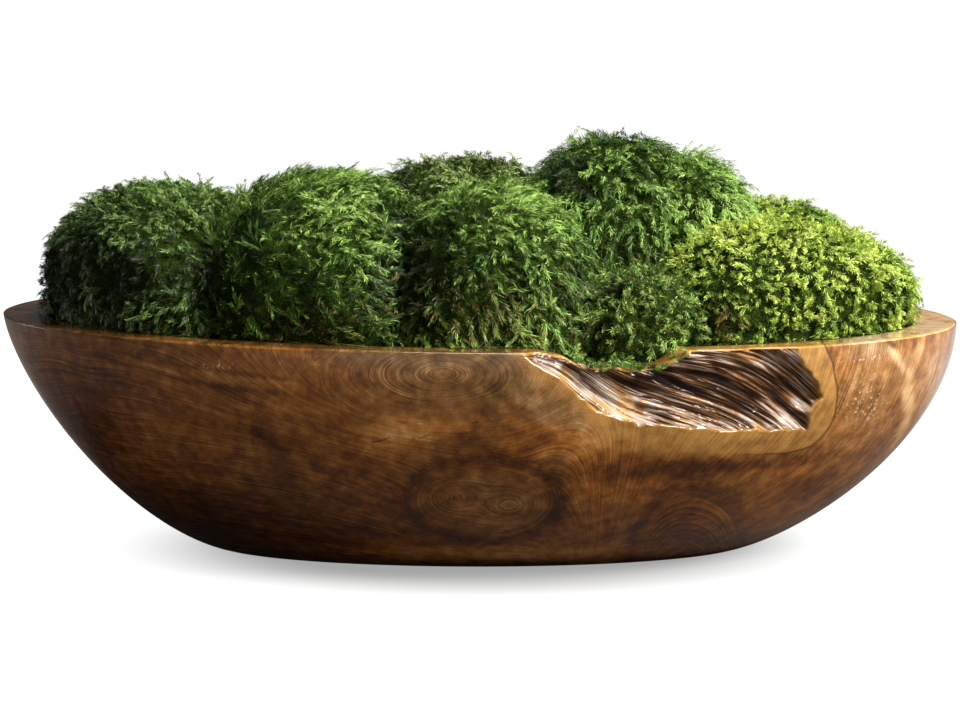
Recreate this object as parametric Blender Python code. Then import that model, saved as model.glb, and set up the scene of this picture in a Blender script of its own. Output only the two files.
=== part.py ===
"""Moss garden in a hollowed wooden bowl, in metres, +Z up, the long side along X and the front at -Y.

The bowl is one oval block turned and carved from a root, with a natural hollow left in its front wall.
A bed of dry foam fills it and rises to a low mound, and cushions of moss stand on the bed side by side.
The origin is on the surface that the bowl rests on, under the middle of the rim.
"""
import math

import bmesh
import bpy
import numpy as np

# Bowl, outside
RIM_HALF_LENGTH = 0.305
RIM_HALF_DEPTH = 0.215
BASE_HALF_LENGTH = 0.166
BASE_HALF_DEPTH = 0.086
RIM_HEIGHT = 0.1495
RIM_SLOPE = 0.0107
RISE_POWER_LEFT = 1.40
RISE_POWER_RIGHT = 1.85
SPREAD_POWER_LEFT = 1.47
SPREAD_POWER_RIGHT = 1.32

# Bowl, inside and rim
RIM_THICKNESS = 0.028
FLOOR_HEIGHT = 0.030
FLOOR_HALF_LENGTH = 0.150
FLOOR_HALF_DEPTH = 0.070
OUTER_ROUND = 0.002
INNER_ROUND = 0.003

# Natural hollow in the front wall: x is along the bowl, the depth is below the rim
HOLLOW_LIP_X = (0.022, 0.048, 0.069, 0.095, 0.145, 0.199)
HOLLOW_LIP_DEPTH = (0.000, 0.0165, 0.036, 0.045, 0.050, 0.053)
HOLLOW_END_DEPTH = (0.000, 0.009, 0.025, 0.033, 0.041, 0.053)
HOLLOW_END_X = (0.190, 0.194, 0.2045, 0.207, 0.200, 0.199)
HOLLOW_RECESS = 0.014
LIP_FALL = 0.009
END_FALL = 0.004
BROW_DEPTH = 0.018
BROW_RECESS = 0.35
RIDGE_SPACING = 0.013
RIDGE_HEIGHT = 0.0022
RIDGE_SLANT = math.radians(27.0)
RIDGE_WAVE = 0.0016
RIDGE_WAVE_LENGTH = 0.047

# Where the rim has worn down above the hollow
DIP_X = (0.036, 0.051, 0.062, 0.072, 0.082, 0.095, 0.108, 0.118, 0.127)
DIP_DEPTH = (0.000, 0.003, 0.009, 0.0115, 0.0095, 0.0125, 0.0115, 0.006, 0.000)
DIP_REACH = 0.45

SHARP_ANGLE = math.radians(40.0)

# Bowl mesh: closer columns across the hollow and closer rows beside it
HOLLOW_START_ANGLE = math.radians(-90.0)
HOLLOW_STOP_ANGLE = math.radians(-42.0)
HOLLOW_COLUMNS = 56
PLAIN_COLUMNS = 52
LOWER_ROWS = 7
LOWER_ROW_POWER = 1.6
UPPER_ROWS = 13
UPPER_START = 0.60
INNER_LEVELS = (0.82, 0.62, 0.42, 0.24, 0.10, 0.02, 0.0)

# Foam bed
BED_WALL_GAP = 0.0018
BED_FLOOR_GAP = 0.0003
BED_EDGE_DEPTH = 0.028
MOUND_RISE = 0.054
MOUND_HALF_LENGTH = 0.268
MOUND_HALF_DEPTH = 0.178
BED_COLUMNS = 40
BED_LEVELS = (0.0, 0.08, 0.24, 0.45, 0.62)
MOUND_RINGS = (0.96, 0.84, 0.68, 0.50, 0.30, 0.12)

# Moss cushions: each is a squarish dome, cut where it meets the bed, the wall and its neighbours
DOME_POWER = 2.4
BED_GAP = 0.0007
NEIGHBOUR_GAP = 0.0008
MEAN_DOME_RADIUS = 0.075
WALL_GAP = 0.0020
RIM_CLEARANCE = 0.004
BULGE_SLOPE = 1.2
BULGE_REACH = 0.008

# Tufts: points on a cushion, the peaks among them, and how far the rest lie below the peaks
EXPOSED_SPACING = 0.0082
HIDDEN_SPACING = 0.0130
TUFT_SPACING = 0.0120
TUFT_RISE = 0.0080
TUFT_VARIATION = 0.35

# Search for a cushion's surface, outward from a point part of the way up between the bed and its top
TRIAL_DIRECTIONS = 8000
MARCH_STEP = 0.002
MARCH_REACH = 0.150
HALVINGS = 10
MIDDLE_RAISE = 0.62
DOME_TOLERANCE = 0.004
WALL_TOLERANCE = 0.002

# name, x, y, height of the dome's middle above the rim, its half sizes along X, Y and Z, and its colour
CUSHIONS = (
    ("moss_left_end", -0.204, -0.015, 0.000, 0.078, 0.138, 0.084, (0.035, 0.075, 0.020)),
    ("moss_left_back", -0.155, 0.080, 0.000, 0.082, 0.095, 0.069, (0.045, 0.090, 0.025)),
    ("moss_left_front", -0.100, -0.045, 0.000, 0.076, 0.145, 0.094, (0.050, 0.120, 0.030)),
    ("moss_centre_front", 0.008, -0.088, 0.000, 0.068, 0.105, 0.089, (0.065, 0.120, 0.035)),
    ("moss_centre_back", -0.012, 0.070, 0.000, 0.087, 0.085, 0.098, (0.060, 0.095, 0.030)),
    ("moss_tall", 0.088, 0.012, 0.010, 0.072, 0.098, 0.106, (0.055, 0.115, 0.030)),
    ("moss_tall_right", 0.134, 0.005, 0.010, 0.050, 0.092, 0.095, (0.075, 0.150, 0.040)),
    ("moss_notch", 0.100, -0.128, -0.015, 0.042, 0.066, 0.060, (0.060, 0.115, 0.035)),
    ("moss_right_front", 0.180, -0.062, 0.000, 0.078, 0.105, 0.070, (0.125, 0.190, 0.045)),
    ("moss_right_back", 0.188, 0.075, 0.000, 0.072, 0.090, 0.072, (0.090, 0.165, 0.045)),
    ("moss_right_end", 0.218, 0.005, 0.000, 0.066, 0.120, 0.056, (0.110, 0.185, 0.045)),
    ("moss_back_left", -0.085, 0.128, -0.010, 0.074, 0.075, 0.075, (0.045, 0.090, 0.025)),
    ("moss_back_middle", 0.028, 0.138, -0.010, 0.072, 0.070, 0.080, (0.050, 0.100, 0.028)),
    ("moss_back_right", 0.132, 0.118, -0.010, 0.074, 0.085, 0.084, (0.065, 0.120, 0.032)),
)


def remove_old_objects():
    for old in list(bpy.data.objects):
        bpy.data.objects.remove(old, do_unlink=True)


def plain_material(name, colour, roughness):
    material = bpy.data.materials.new(name)
    material.use_nodes = True
    shader = material.node_tree.nodes["Principled BSDF"]
    shader.inputs["Base Color"].default_value = (*colour, 1.0)
    shader.inputs["Roughness"].default_value = roughness
    shader.inputs["Metallic"].default_value = 0.0
    return material


def add_object(name, points, faces, material, location=(0.0, 0.0, 0.0), smooth=False):
    mesh = bpy.data.meshes.new(name)
    mesh.from_pydata([tuple(p) for p in points], [], faces)
    mesh.materials.append(material)
    if smooth:
        mesh.shade_smooth()
        mesh.set_sharp_from_angle(angle=SHARP_ANGLE)
    new = bpy.data.objects.new(name, mesh)
    new.location = location
    bpy.context.scene.collection.objects.link(new)
    return new


def smooth_step(value):
    value = np.clip(value, 0.0, 1.0)
    return value * value * (3.0 - 2.0 * value)


def rim_level(x):
    """Height of the rim plane, which is a little higher at the left end."""
    return RIM_HEIGHT - RIM_SLOPE * x


def wall_spread(rightness, level):
    """How far the wall has spread from the base, 0, to the rim, 1, at a level from 0 to 1."""
    rise = RISE_POWER_LEFT + (RISE_POWER_RIGHT - RISE_POWER_LEFT) * rightness
    spread = SPREAD_POWER_LEFT + (SPREAD_POWER_RIGHT - SPREAD_POWER_LEFT) * rightness
    return (1.0 - (1.0 - np.clip(level, 0.0, 1.0)) ** rise) ** (1.0 / spread)


def outer_point(angle, level):
    spread = wall_spread(0.5 + 0.5 * math.cos(angle), level)
    x = (BASE_HALF_LENGTH + (RIM_HALF_LENGTH - BASE_HALF_LENGTH) * spread) * math.cos(angle)
    y = (BASE_HALF_DEPTH + (RIM_HALF_DEPTH - BASE_HALF_DEPTH) * spread) * math.sin(angle)
    return np.array((x, y, level * rim_level(x)))


def inner_half_sizes(rightness, level):
    spread = wall_spread(rightness, level)
    length = FLOOR_HALF_LENGTH + (RIM_HALF_LENGTH - RIM_THICKNESS - FLOOR_HALF_LENGTH) * spread
    depth = FLOOR_HALF_DEPTH + (RIM_HALF_DEPTH - RIM_THICKNESS - FLOOR_HALF_DEPTH) * spread
    return length, depth


def inner_point(angle, level, inset=0.0):
    length, depth = inner_half_sizes(0.5 + 0.5 * math.cos(angle), level)
    x = (length - inset) * math.cos(angle)
    y = (depth - inset) * math.sin(angle)
    return np.array((x, y, FLOOR_HEIGHT + level * (rim_level(x) - FLOOR_HEIGHT)))


def inward(angle):
    """Level direction from the outer wall towards the inside."""
    away = np.array((math.cos(angle) / RIM_HALF_LENGTH, math.sin(angle) / RIM_HALF_DEPTH, 0.0))
    return -away / np.linalg.norm(away)


def rim_dip(x, y):
    """How far the rim has worn down above the hollow."""
    return np.where(y < 0.0, np.interp(x, DIP_X, DIP_DEPTH), 0.0)


def hollow_recess(x, depth):
    """How far the front wall lies back inside the natural hollow, with its slanting ridges."""
    above_lip = np.interp(x, HOLLOW_LIP_X, HOLLOW_LIP_DEPTH, left=0.0) - depth
    before_end = np.interp(depth, HOLLOW_END_DEPTH, HOLLOW_END_X) - x
    if x < HOLLOW_LIP_X[0] or above_lip <= 0.0 or before_end <= 0.0:
        return 0.0
    fall = (1.0 - math.exp(-above_lip / LIP_FALL)) * (1.0 - math.exp(-before_end / END_FALL))
    brow = BROW_RECESS + (1.0 - BROW_RECESS) * smooth_step(depth / BROW_DEPTH)
    worn = smooth_step((DIP_X[-1] - x) / BROW_DEPTH)
    wave = RIDGE_WAVE * math.sin(2.0 * math.pi * x / RIDGE_WAVE_LENGTH)
    across = depth * math.cos(RIDGE_SLANT) - x * math.sin(RIDGE_SLANT) + wave
    ridge = RIDGE_HEIGHT * math.sin(2.0 * math.pi * across / RIDGE_SPACING)
    return fall * (HOLLOW_RECESS * max(brow, worn) + ridge)


def bowl_angles():
    """Column angles, closer together across the hollow."""
    across = np.linspace(HOLLOW_START_ANGLE, HOLLOW_STOP_ANGLE, HOLLOW_COLUMNS, endpoint=False)
    around = np.linspace(HOLLOW_STOP_ANGLE, HOLLOW_START_ANGLE + 2.0 * math.pi, PLAIN_COLUMNS, endpoint=False)
    return [float(a) for a in across] + [float(a) for a in around]


def outer_levels():
    lower = [UPPER_START * (row / LOWER_ROWS) ** LOWER_ROW_POWER for row in range(LOWER_ROWS)]
    upper = [UPPER_START + (1.0 - UPPER_START) * row / UPPER_ROWS for row in range(UPPER_ROWS)]
    return lower + upper + [1.0 - OUTER_ROUND / RIM_HEIGHT]


def bowl_column(angle):
    """One run of points from the base edge up the outside, over the rim and down to the floor."""
    rim = outer_point(angle, 1.0)
    dip = float(rim_dip(rim[0], rim[1]))
    column = []
    for level in outer_levels():
        reach = smooth_step((level - DIP_REACH) / (1.0 - DIP_REACH))
        lowered = level - dip * reach / rim_level(rim[0])
        point = outer_point(angle, lowered)
        recess = hollow_recess(point[0], rim_level(point[0]) - point[2]) if point[1] < 0.0 else 0.0
        column.append(point + inward(angle) * recess)
    outer_top = column[-1] + np.array((0.0, 0.0, OUTER_ROUND))
    inner_rim = inner_point(angle, 1.0) - np.array((0.0, 0.0, dip))
    across = (inner_rim - outer_top) / np.linalg.norm(inner_rim - outer_top)
    down = np.array((0.0, 0.0, -1.0))
    corner = 1.0 - math.sqrt(0.5)
    column.append(outer_top + (across + down) * OUTER_ROUND * corner)
    column.append(outer_top + across * OUTER_ROUND)
    column.append(inner_rim - across * INNER_ROUND)
    column.append(inner_rim - across * INNER_ROUND * corner + down * INNER_ROUND * corner)
    column.append(inner_rim + down * INNER_ROUND)
    for level in INNER_LEVELS:
        column.append(inner_point(angle, level))
    return column


def closed_bands(columns):
    """Quads between neighbouring columns, with the first and the last ring closed by flat faces."""
    count = len(columns)
    rows = len(columns[0])
    points = [point for column in columns for point in column]
    faces = []
    for i in range(count):
        left = i * rows
        right = (i + 1) % count * rows
        for j in range(rows - 1):
            faces.append((left + j, right + j, right + j + 1, left + j + 1))
    faces.append([i * rows for i in reversed(range(count))])
    faces.append([i * rows + rows - 1 for i in range(count)])
    return points, faces


def make_bowl():
    points, faces = closed_bands([bowl_column(angle) for angle in bowl_angles()])
    add_object("bowl", points, faces, plain_material("oiled_teak", (0.21, 0.085, 0.027), 0.32), smooth=True)


def mound_level(x, y):
    """Height of the foam bed's top."""
    out = (x / MOUND_HALF_LENGTH) ** 2 + (y / MOUND_HALF_DEPTH) ** 2
    return rim_level(x) - BED_EDGE_DEPTH + MOUND_RISE * np.maximum(0.0, 1.0 - out)


def bed_column(angle):
    """One run of points from the bed's bottom up beside the bowl's wall and over the mound."""
    column = []
    for level in BED_LEVELS:
        point = inner_point(angle, level, BED_WALL_GAP)
        point[2] += BED_FLOOR_GAP
        column.append(point)
    edge = inner_point(angle, 1.0 - BED_EDGE_DEPTH / (RIM_HEIGHT - FLOOR_HEIGHT), BED_WALL_GAP)
    edge[2] = mound_level(edge[0], edge[1])
    column.append(edge)
    for ring in MOUND_RINGS:
        x, y = edge[0] * ring, edge[1] * ring
        column.append(np.array((x, y, mound_level(x, y))))
    return column


def make_foam_bed():
    step = 2.0 * math.pi / BED_COLUMNS
    columns = [bed_column(step * i) for i in range(BED_COLUMNS)]
    points, faces = closed_bands(columns)
    faces.pop()
    rows = len(columns[0])
    points.append(np.array((0.0, 0.0, mound_level(0.0, 0.0))))
    top = len(points) - 1
    for i in range(BED_COLUMNS):
        faces.append((i * rows + rows - 1, (i + 1) % BED_COLUMNS * rows + rows - 1, top))
    add_object("foam_bed", points, faces, plain_material("dry_foam", (0.10, 0.075, 0.045), 0.95))


def dome_ratio(cushion, points):
    """Distance out from the middle of a cushion's dome, 1 on its surface."""
    x, y, rise, half_x, half_y, half_z = cushion[1:7]
    middle = np.array((x, y, rim_level(x) + rise))
    scaled = np.abs((points - middle) / np.array((half_x, half_y, half_z)))
    return (scaled ** DOME_POWER).sum(axis=1) ** (1.0 / DOME_POWER)


def cavity_excess(points):
    """Above 0 outside the room that moss may take: inside the wall, then out a little over the rim."""
    x, y, z = points.T
    rightness = 0.5 + 0.5 * np.clip(x / RIM_HALF_LENGTH, -1.0, 1.0)
    level = (z - FLOOR_HEIGHT) / (rim_level(x) - FLOOR_HEIGHT)
    length, depth = inner_half_sizes(rightness, level)
    over_rim = z - (rim_level(x) - rim_dip(x, y)) - RIM_CLEARANCE
    offset = np.clip(over_rim * BULGE_SLOPE, 0.0, BULGE_REACH + WALL_GAP) - WALL_GAP
    return np.hypot(x / (length + offset), y / (depth + offset)) - 1.0


def cushion_excess(cushion, neighbours, points):
    """Above 0 outside the cushion's own room."""
    own = dome_ratio(cushion, points)
    excess = np.maximum(own - 1.0, cavity_excess(points))
    bed = mound_level(points[:, 0], points[:, 1]) + BED_GAP - points[:, 2]
    excess = np.maximum(excess, bed / MEAN_DOME_RADIUS)
    margin = NEIGHBOUR_GAP / MEAN_DOME_RADIUS
    for other in neighbours:
        excess = np.maximum(excess, own - dome_ratio(other, points) + margin)
    return excess


def first_exit(cushion, neighbours, middle, directions):
    """Distance along each direction from the middle to where it first leaves the cushion's room."""
    count = len(directions)
    near = np.zeros(count)
    far = np.full(count, MARCH_REACH)
    inside = np.ones(count, dtype=bool)
    for reach in np.arange(MARCH_STEP, MARCH_REACH, MARCH_STEP):
        active = np.flatnonzero(inside)
        if not len(active):
            break
        out = cushion_excess(cushion, neighbours, middle + directions[active] * reach) > 0.0
        near[active[~out]] = reach
        far[active[out]] = reach
        inside[active[out]] = False
    for _ in range(HALVINGS):
        half = 0.5 * (near + far)
        out = cushion_excess(cushion, neighbours, middle + directions * half[:, None]) > 0.0
        far = np.where(out, half, far)
        near = np.where(out, near, half)
    return near


def even_directions(count):
    """Unit vectors spread evenly over a sphere along a spiral."""
    index = np.arange(count) + 0.5
    z = 1.0 - 2.0 * index / count
    turn = math.pi * (1.0 + math.sqrt(5.0)) * index
    level = np.sqrt(1.0 - z * z)
    return np.column_stack((level * np.cos(turn), level * np.sin(turn), z))


def spaced_choice(points, spacings, order):
    """Indices of points, taken in order, that keep their own spacing from all taken before."""
    free = np.ones(len(points), dtype=bool)
    chosen = []
    for i in order:
        if not free[i]:
            continue
        chosen.append(i)
        free &= np.linalg.norm(points - points[i], axis=1) > spacings[i]
    return np.array(chosen)


def sphere_faces(directions):
    """Triangles that join directions into one closed shell round the middle."""
    shell = bmesh.new()
    for direction in directions:
        shell.verts.new(direction)
    shell.verts.index_update()
    bmesh.ops.convex_hull(shell, input=shell.verts[:])
    bmesh.ops.triangulate(shell, faces=shell.faces[:])
    bmesh.ops.recalc_face_normals(shell, faces=shell.faces[:])
    faces = [tuple(vertex.index for vertex in face.verts) for face in shell.faces]
    shell.free()
    return faces


def make_cushion(cushion, seed):
    """A dome of moss with its tufts standing out of it, seated on the bed between its neighbours."""
    name, x, y, rise, half_x, half_y, half_z, colour = cushion
    rng = np.random.default_rng(seed)
    neighbours = [other for other in CUSHIONS if other is not cushion]
    dome_top = rim_level(x) + rise + half_z
    middle = np.array((x, y, MIDDLE_RAISE * dome_top + (1.0 - MIDDLE_RAISE) * mound_level(x, y)))
    directions = even_directions(TRIAL_DIRECTIONS)
    reach = first_exit(cushion, neighbours, middle, directions)
    surface = middle + directions * reach[:, None]
    on_dome = dome_ratio(cushion, surface) > 1.0 - DOME_TOLERANCE
    over_rim = (cavity_excess(surface) > -WALL_TOLERANCE) & (surface[:, 2] > rim_level(surface[:, 0]))
    exposed = on_dome | over_rim
    order = rng.permutation(TRIAL_DIRECTIONS)
    chosen = spaced_choice(surface, np.where(exposed, EXPOSED_SPACING, HIDDEN_SPACING), order)
    directions, reach, surface, exposed = directions[chosen], reach[chosen], surface[chosen], exposed[chosen]
    peaks = spaced_choice(surface, np.full(len(chosen), TUFT_SPACING), rng.permutation(len(chosen)))
    inset = TUFT_RISE * (1.0 + TUFT_VARIATION * rng.uniform(-1.0, 1.0, len(chosen)))
    inset[peaks] *= TUFT_VARIATION * rng.uniform(0.0, 1.0, len(peaks))
    reach = reach - np.where(exposed, inset, 0.0)
    material = plain_material(name + "_green", colour, 0.85)
    add_object(name, directions * reach[:, None], sphere_faces(directions), material, location=middle)


def main():
    remove_old_objects()
    make_bowl()
    make_foam_bed()
    for seed, cushion in enumerate(CUSHIONS, start=1):
        make_cushion(cushion, seed)


main()
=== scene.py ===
"""Looks of the moss bowl garden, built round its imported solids.

Metres, +Z up, the bowl's hollowed front at -Y. The bowl is made again from the formulas of its solid, with
finer ridges, and its vertices carry the run of the grain. Each cushion of moss keeps its solid as a core,
and thousands of leaves stand out of the core in shoots.
"""

import itertools
import math
from collections import namedtuple

import bpy
import numpy as np
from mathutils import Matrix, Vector
from mathutils.bvhtree import BVHTree


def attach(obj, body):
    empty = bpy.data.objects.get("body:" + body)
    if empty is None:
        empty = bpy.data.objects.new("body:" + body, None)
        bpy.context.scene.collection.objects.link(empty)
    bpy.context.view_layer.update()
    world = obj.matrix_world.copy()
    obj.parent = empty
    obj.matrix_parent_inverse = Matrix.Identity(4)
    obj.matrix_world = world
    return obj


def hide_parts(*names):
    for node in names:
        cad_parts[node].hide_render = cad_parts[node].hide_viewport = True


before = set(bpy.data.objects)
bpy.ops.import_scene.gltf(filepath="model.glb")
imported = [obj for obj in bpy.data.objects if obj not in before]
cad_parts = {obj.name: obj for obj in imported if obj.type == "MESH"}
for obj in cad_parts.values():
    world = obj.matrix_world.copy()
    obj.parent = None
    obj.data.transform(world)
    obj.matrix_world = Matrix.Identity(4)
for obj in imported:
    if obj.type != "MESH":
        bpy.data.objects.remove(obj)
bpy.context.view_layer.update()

Fibre = namedtuple("Fibre", "width length height seed wander_seed")
Knot = namedtuple("Knot", "x z half_x half_z count bends clear edge border hearts")
Cushion = namedtuple("Cushion", "node slot sweep bend size wide tint dry")
Crumb = namedtuple("Crumb", "noise stops relief roughness specular")
Light = namedtuple("Light", "place width height power colour")

# Smooth noise: cells in its table before it repeats
LATTICE_SIZE = 61

# Bowl form, as in the solid
RIM_HALF_LENGTH = 0.305
RIM_HALF_DEPTH = 0.215
BASE_HALF_LENGTH = 0.166
BASE_HALF_DEPTH = 0.086
RIM_HEIGHT = 0.1495
RIM_SLOPE = 0.0107
RISE_POWERS = (1.40, 1.85)
SPREAD_POWERS = (1.47, 1.32)
RIM_THICKNESS = 0.028
FLOOR_HEIGHT = 0.030
FLOOR_HALF_LENGTH = 0.150
FLOOR_HALF_DEPTH = 0.070
OUTER_ROUND = 0.002
INNER_ROUND = 0.003

# Natural hollow in the front wall, as in the solid
HOLLOW_LIP_X = (0.022, 0.048, 0.069, 0.095, 0.145, 0.199)
HOLLOW_LIP_DEPTH = (0.000, 0.0165, 0.036, 0.045, 0.050, 0.053)
HOLLOW_END_DEPTH = (0.000, 0.009, 0.025, 0.033, 0.041, 0.053)
HOLLOW_END_X = (0.190, 0.194, 0.2045, 0.207, 0.200, 0.199)
HOLLOW_RECESS = 0.014
LIP_FALL = 0.009
END_FALL = 0.004
BROW_DEPTH = 0.018
BROW_RECESS = 0.35
RIDGE_SPACING = 0.013
RIDGE_HEIGHT = 0.0013
RIDGE_SLANT = math.radians(27.0)
RIDGE_WAVE = 0.0016
RIDGE_WAVE_LENGTH = 0.047
DIP_X = (0.036, 0.051, 0.062, 0.072, 0.082, 0.095, 0.108, 0.118, 0.127)
DIP_DEPTH = (0.000, 0.003, 0.009, 0.0115, 0.0095, 0.0125, 0.0115, 0.006, 0.000)
DIP_REACH = 0.45

# Torn fibres in the hollow, along x: how steeply they run down to the right, and how much of that is left at
# the rim. They have their full fall at a depth below the rim, and are numbered where they pass the middle
FIBRE_X = (0.020, 0.050, 0.075, 0.100, 0.140, 0.185, 0.210)
FIBRE_FALL = (1.00, 0.95, 0.70, 0.30, 0.38, 0.80, 1.05)
RIM_SHARE = (0.22, 0.22, 0.22, 0.22, 0.35, 0.90, 1.00)
FULL_FALL_DEPTH = 0.020
FIBRE_MIDDLE_X = 0.100
FIBRE_STEPS = 40

# Their strands: how they wander, how full and round they are, and the height that moves the wall neither way.
# Each kind has a width, length and height, and the seeds of its noise and of its wander
COARSE_FIBRE = Fibre(0.0042, 0.040, 0.0022, 11, 61)
FINE_FIBRE = Fibre(0.0018, 0.026, 0.0012, 12, 62)
COARSE_SHARE = 0.6
FINE_SHARE = 0.4
WANDER_PITCH = 0.35
FIBRE_WANDER = 0.9
STRAND_GAIN = 2.6
STRAND_ROUNDING = 0.7
STRAND_MIDDLE = 0.6

# Edge of the hollow: how it wavers, and how wide it fades
LIP_WAVER = 0.0026
LIP_WAVER_SIZE = 0.0045
LIP_SEED = 13
MASK_WIDTH = 0.0014

# Fine bowl mesh: columns from one angle to the next, in degrees, with the most of them at the hollow
COLUMN_RUNS = ((-90.0, -42.0, 232), (-42.0, 0.0, 66), (0.0, 180.0, 104), (180.0, 270.0, 150))
LOWER_ROWS = 32
LOWER_CROWDING = 1.4
UPPER_ROWS = 88
UPPER_START = 0.62
ROUND_STEPS = 4
RIM_STEPS = 5
INNER_LEVELS = (0.92, 0.82, 0.62, 0.42, 0.24, 0.10, 0.0)

# Growth rings: the plain run of the grain, level and bowed at the left and upright at the right, where it
# follows the outline outside a reach round the middle. All of it sways, by two noises with their cell, seed
# and share, and the front's wood fades into the back's along y
RING_SPACING = 0.0130
RING_BOW = 0.10
UPRIGHT_SPACING = 0.0075
UPRIGHT_X = (0.020, 0.110)
MIDDLE_REACH = 0.05
SWAY = 0.010
SWAY_NOISES = ((0.055, 21, 1.0), (0.020, 22, 0.4))
SWAY_MEAN = 0.7
PLAIN_FIGURE = 0.45
FRONT_BLEND = (0.02, 0.05)

# Knots: x, z, half sizes, rings within, rings it bends round itself, how clearly they show, how sharp and how
# dark its border is, and the x, z of its hearts
FRONT_KNOTS = (
    Knot(-0.027, 0.137, 0.060, 0.026, 9.0, 22.0, 0.85, 0.45, 0.00, ((-0.022, 0.137),)),
    Knot(0.003, 0.054, 0.047, 0.030, 12.0, 9.0, 1.00, 0.10, -0.52, ((0.020, 0.051), (-0.019, 0.057))),
    Knot(0.129, 0.012, 0.036, 0.052, 9.0, 10.0, 0.75, 0.14, -0.40, ((0.126, -0.004),)),
)
BACK_KNOTS = (
    Knot(-0.110, 0.070, 0.060, 0.036, 10.0, 10.0, 0.80, 0.20, -0.30, ((-0.100, 0.068),)),
    Knot(0.060, 0.120, 0.052, 0.026, 9.0, 16.0, 1.00, 0.40, 0.00, ((0.065, 0.122),)),
    Knot(0.175, 0.060, 0.046, 0.034, 9.0, 9.0, 0.70, 0.20, -0.30, ((0.170, 0.062),)),
)

# How the knots' rings bend, sway and join, and where and how wide their dark border lies
BEND_FADE = 0.85
KNOT_SWAY = 0.10
HEART_SWAY = 0.05
HEART_JOIN = 5.0
HEART_BLUR = 0.13
BORDER_PLACE = 0.97
BORDER_WIDTH = 0.13

# Pale, dark, red and olive places on the wall: x, z, half sizes, turn in degrees, tone and warmth
# Two of them are painted light: a painted sheen under the rim, and painted shade low at the left
FRONT_TONES_AND_PAINTED_LIGHT = (
    (-0.049, 0.0985, 0.024, 0.0095, 3.0, 0.70, 0.9),
    (-0.127, 0.087, 0.007, 0.036, 23.0, -0.45, -0.1),
    (-0.083, 0.134, 0.028, 0.022, 0.0, -0.24, 0.0),
    (-0.024, 0.134, 0.055, 0.024, 0.0, -0.25, -0.9),
    (-0.021, 0.138, 0.013, 0.007, 0.0, 0.30, 0.3),
    # Painted sheen: a pale greyish band just under the rim, standing in for a reflection in the lacquer
    (-0.020, 0.1475, 0.060, 0.0050, 0.0, 0.06, -1.2),
    (0.014, 0.136, 0.015, 0.020, 0.0, -0.22, -0.2),
    (-0.105, 0.115, 0.026, 0.034, 0.0, 0.10, 0.4),
    (-0.186, 0.133, 0.066, 0.007, -3.0, 0.34, 0.2),
    (-0.160, 0.126, 0.050, 0.0022, -5.0, -0.50, 0.0),
    (-0.150, 0.1345, 0.045, 0.0018, -5.0, -0.45, 0.0),
    (-0.205, 0.1340, 0.040, 0.0018, -10.0, -0.45, 0.0),
    (-0.215, 0.141, 0.030, 0.0035, 0.0, -0.30, 0.0),
    (-0.165, 0.095, 0.010, 0.024, 8.0, 0.18, 0.3),
    (-0.250, 0.085, 0.028, 0.070, -25.0, -0.40, -0.1),
    (-0.195, 0.103, 0.050, 0.030, 0.0, 0.00, 0.5),
    # Painted shade: darker low down at the left end, on the side turned from the light
    (-0.160, 0.024, 0.100, 0.036, 0.0, -0.62, 0.0),
    (0.050, 0.120, 0.034, 0.022, -30.0, 0.24, -0.9),
    (0.040, 0.097, 0.022, 0.010, 10.0, 0.06, 1.0),
    (0.012, 0.103, 0.026, 0.012, 0.0, -0.16, 0.0),
    (0.074, 0.098, 0.022, 0.010, -15.0, 0.25, 0.1),
    (0.003, 0.054, 0.044, 0.030, 0.0, -0.05, -0.35),
    (0.047, 0.054, 0.008, 0.020, 0.0, -0.36, -0.1),
    (0.005, 0.089, 0.030, 0.005, -12.0, -0.35, -0.1),
    (0.066, 0.058, 0.012, 0.034, 0.0, 0.14, 0.8),
    (-0.012, 0.014, 0.085, 0.006, 0.0, 0.66, 0.4),
    (0.060, 0.014, 0.050, 0.006, 4.0, 0.40, 0.5),
    (0.100, 0.062, 0.024, 0.014, 0.0, 0.12, 0.6),
    (0.088, 0.078, 0.044, 0.010, 0.0, -0.26, 0.0),
    (0.129, 0.016, 0.036, 0.050, 0.0, -0.38, 0.1),
    (0.177, 0.036, 0.020, 0.018, 20.0, 0.26, 0.4),
    (0.150, 0.030, 0.020, 0.016, 0.0, 0.20, 0.6),
    (0.120, 0.006, 0.046, 0.010, 0.0, 0.24, 0.8),
    (0.140, 0.0735, 0.070, 0.0055, 1.0, -0.62, 0.0),
    (0.202, 0.053, 0.014, 0.008, 25.0, -0.45, 0.0),
    (0.190, 0.066, 0.013, 0.005, 20.0, 0.30, 0.8),
    (0.238, 0.116, 0.024, 0.050, -6.0, 0.26, -0.45),
    (0.232, 0.142, 0.020, 0.006, -4.0, 0.25, -0.6),
    (0.2565, 0.1330, 0.0110, 0.0030, -48.0, 1.10, -0.3),
    (0.2660, 0.1080, 0.0040, 0.0190, 0.0, 1.10, -0.3),
    (0.2610, 0.0770, 0.0042, 0.0190, -18.0, 0.90, -0.2),
    (0.2710, 0.1350, 0.0030, 0.0120, -12.0, 0.80, -0.2),
    (0.2500, 0.1430, 0.0045, 0.0018, -38.0, -1.10, 0.0),
    (0.281, 0.116, 0.012, 0.038, -8.0, 0.50, -0.2),
)
BACK_TONES = (
    (-0.200, 0.110, 0.060, 0.016, 0.0, 0.30, 0.3),
    (0.000, 0.060, 0.050, 0.030, 0.0, 0.25, 0.5),
    (0.220, 0.100, 0.030, 0.040, 0.0, -0.30, -0.3),
)

# Tone of the rim's top and of the inside, along x
RIM_TONE_X = (-0.300, -0.200, 0.000, 0.180, 0.240, 0.300)
RIM_TONES = (-0.50, -0.30, -0.10, 0.20, 0.70, 0.95)
RIM_WARMTH = -0.5

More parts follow.
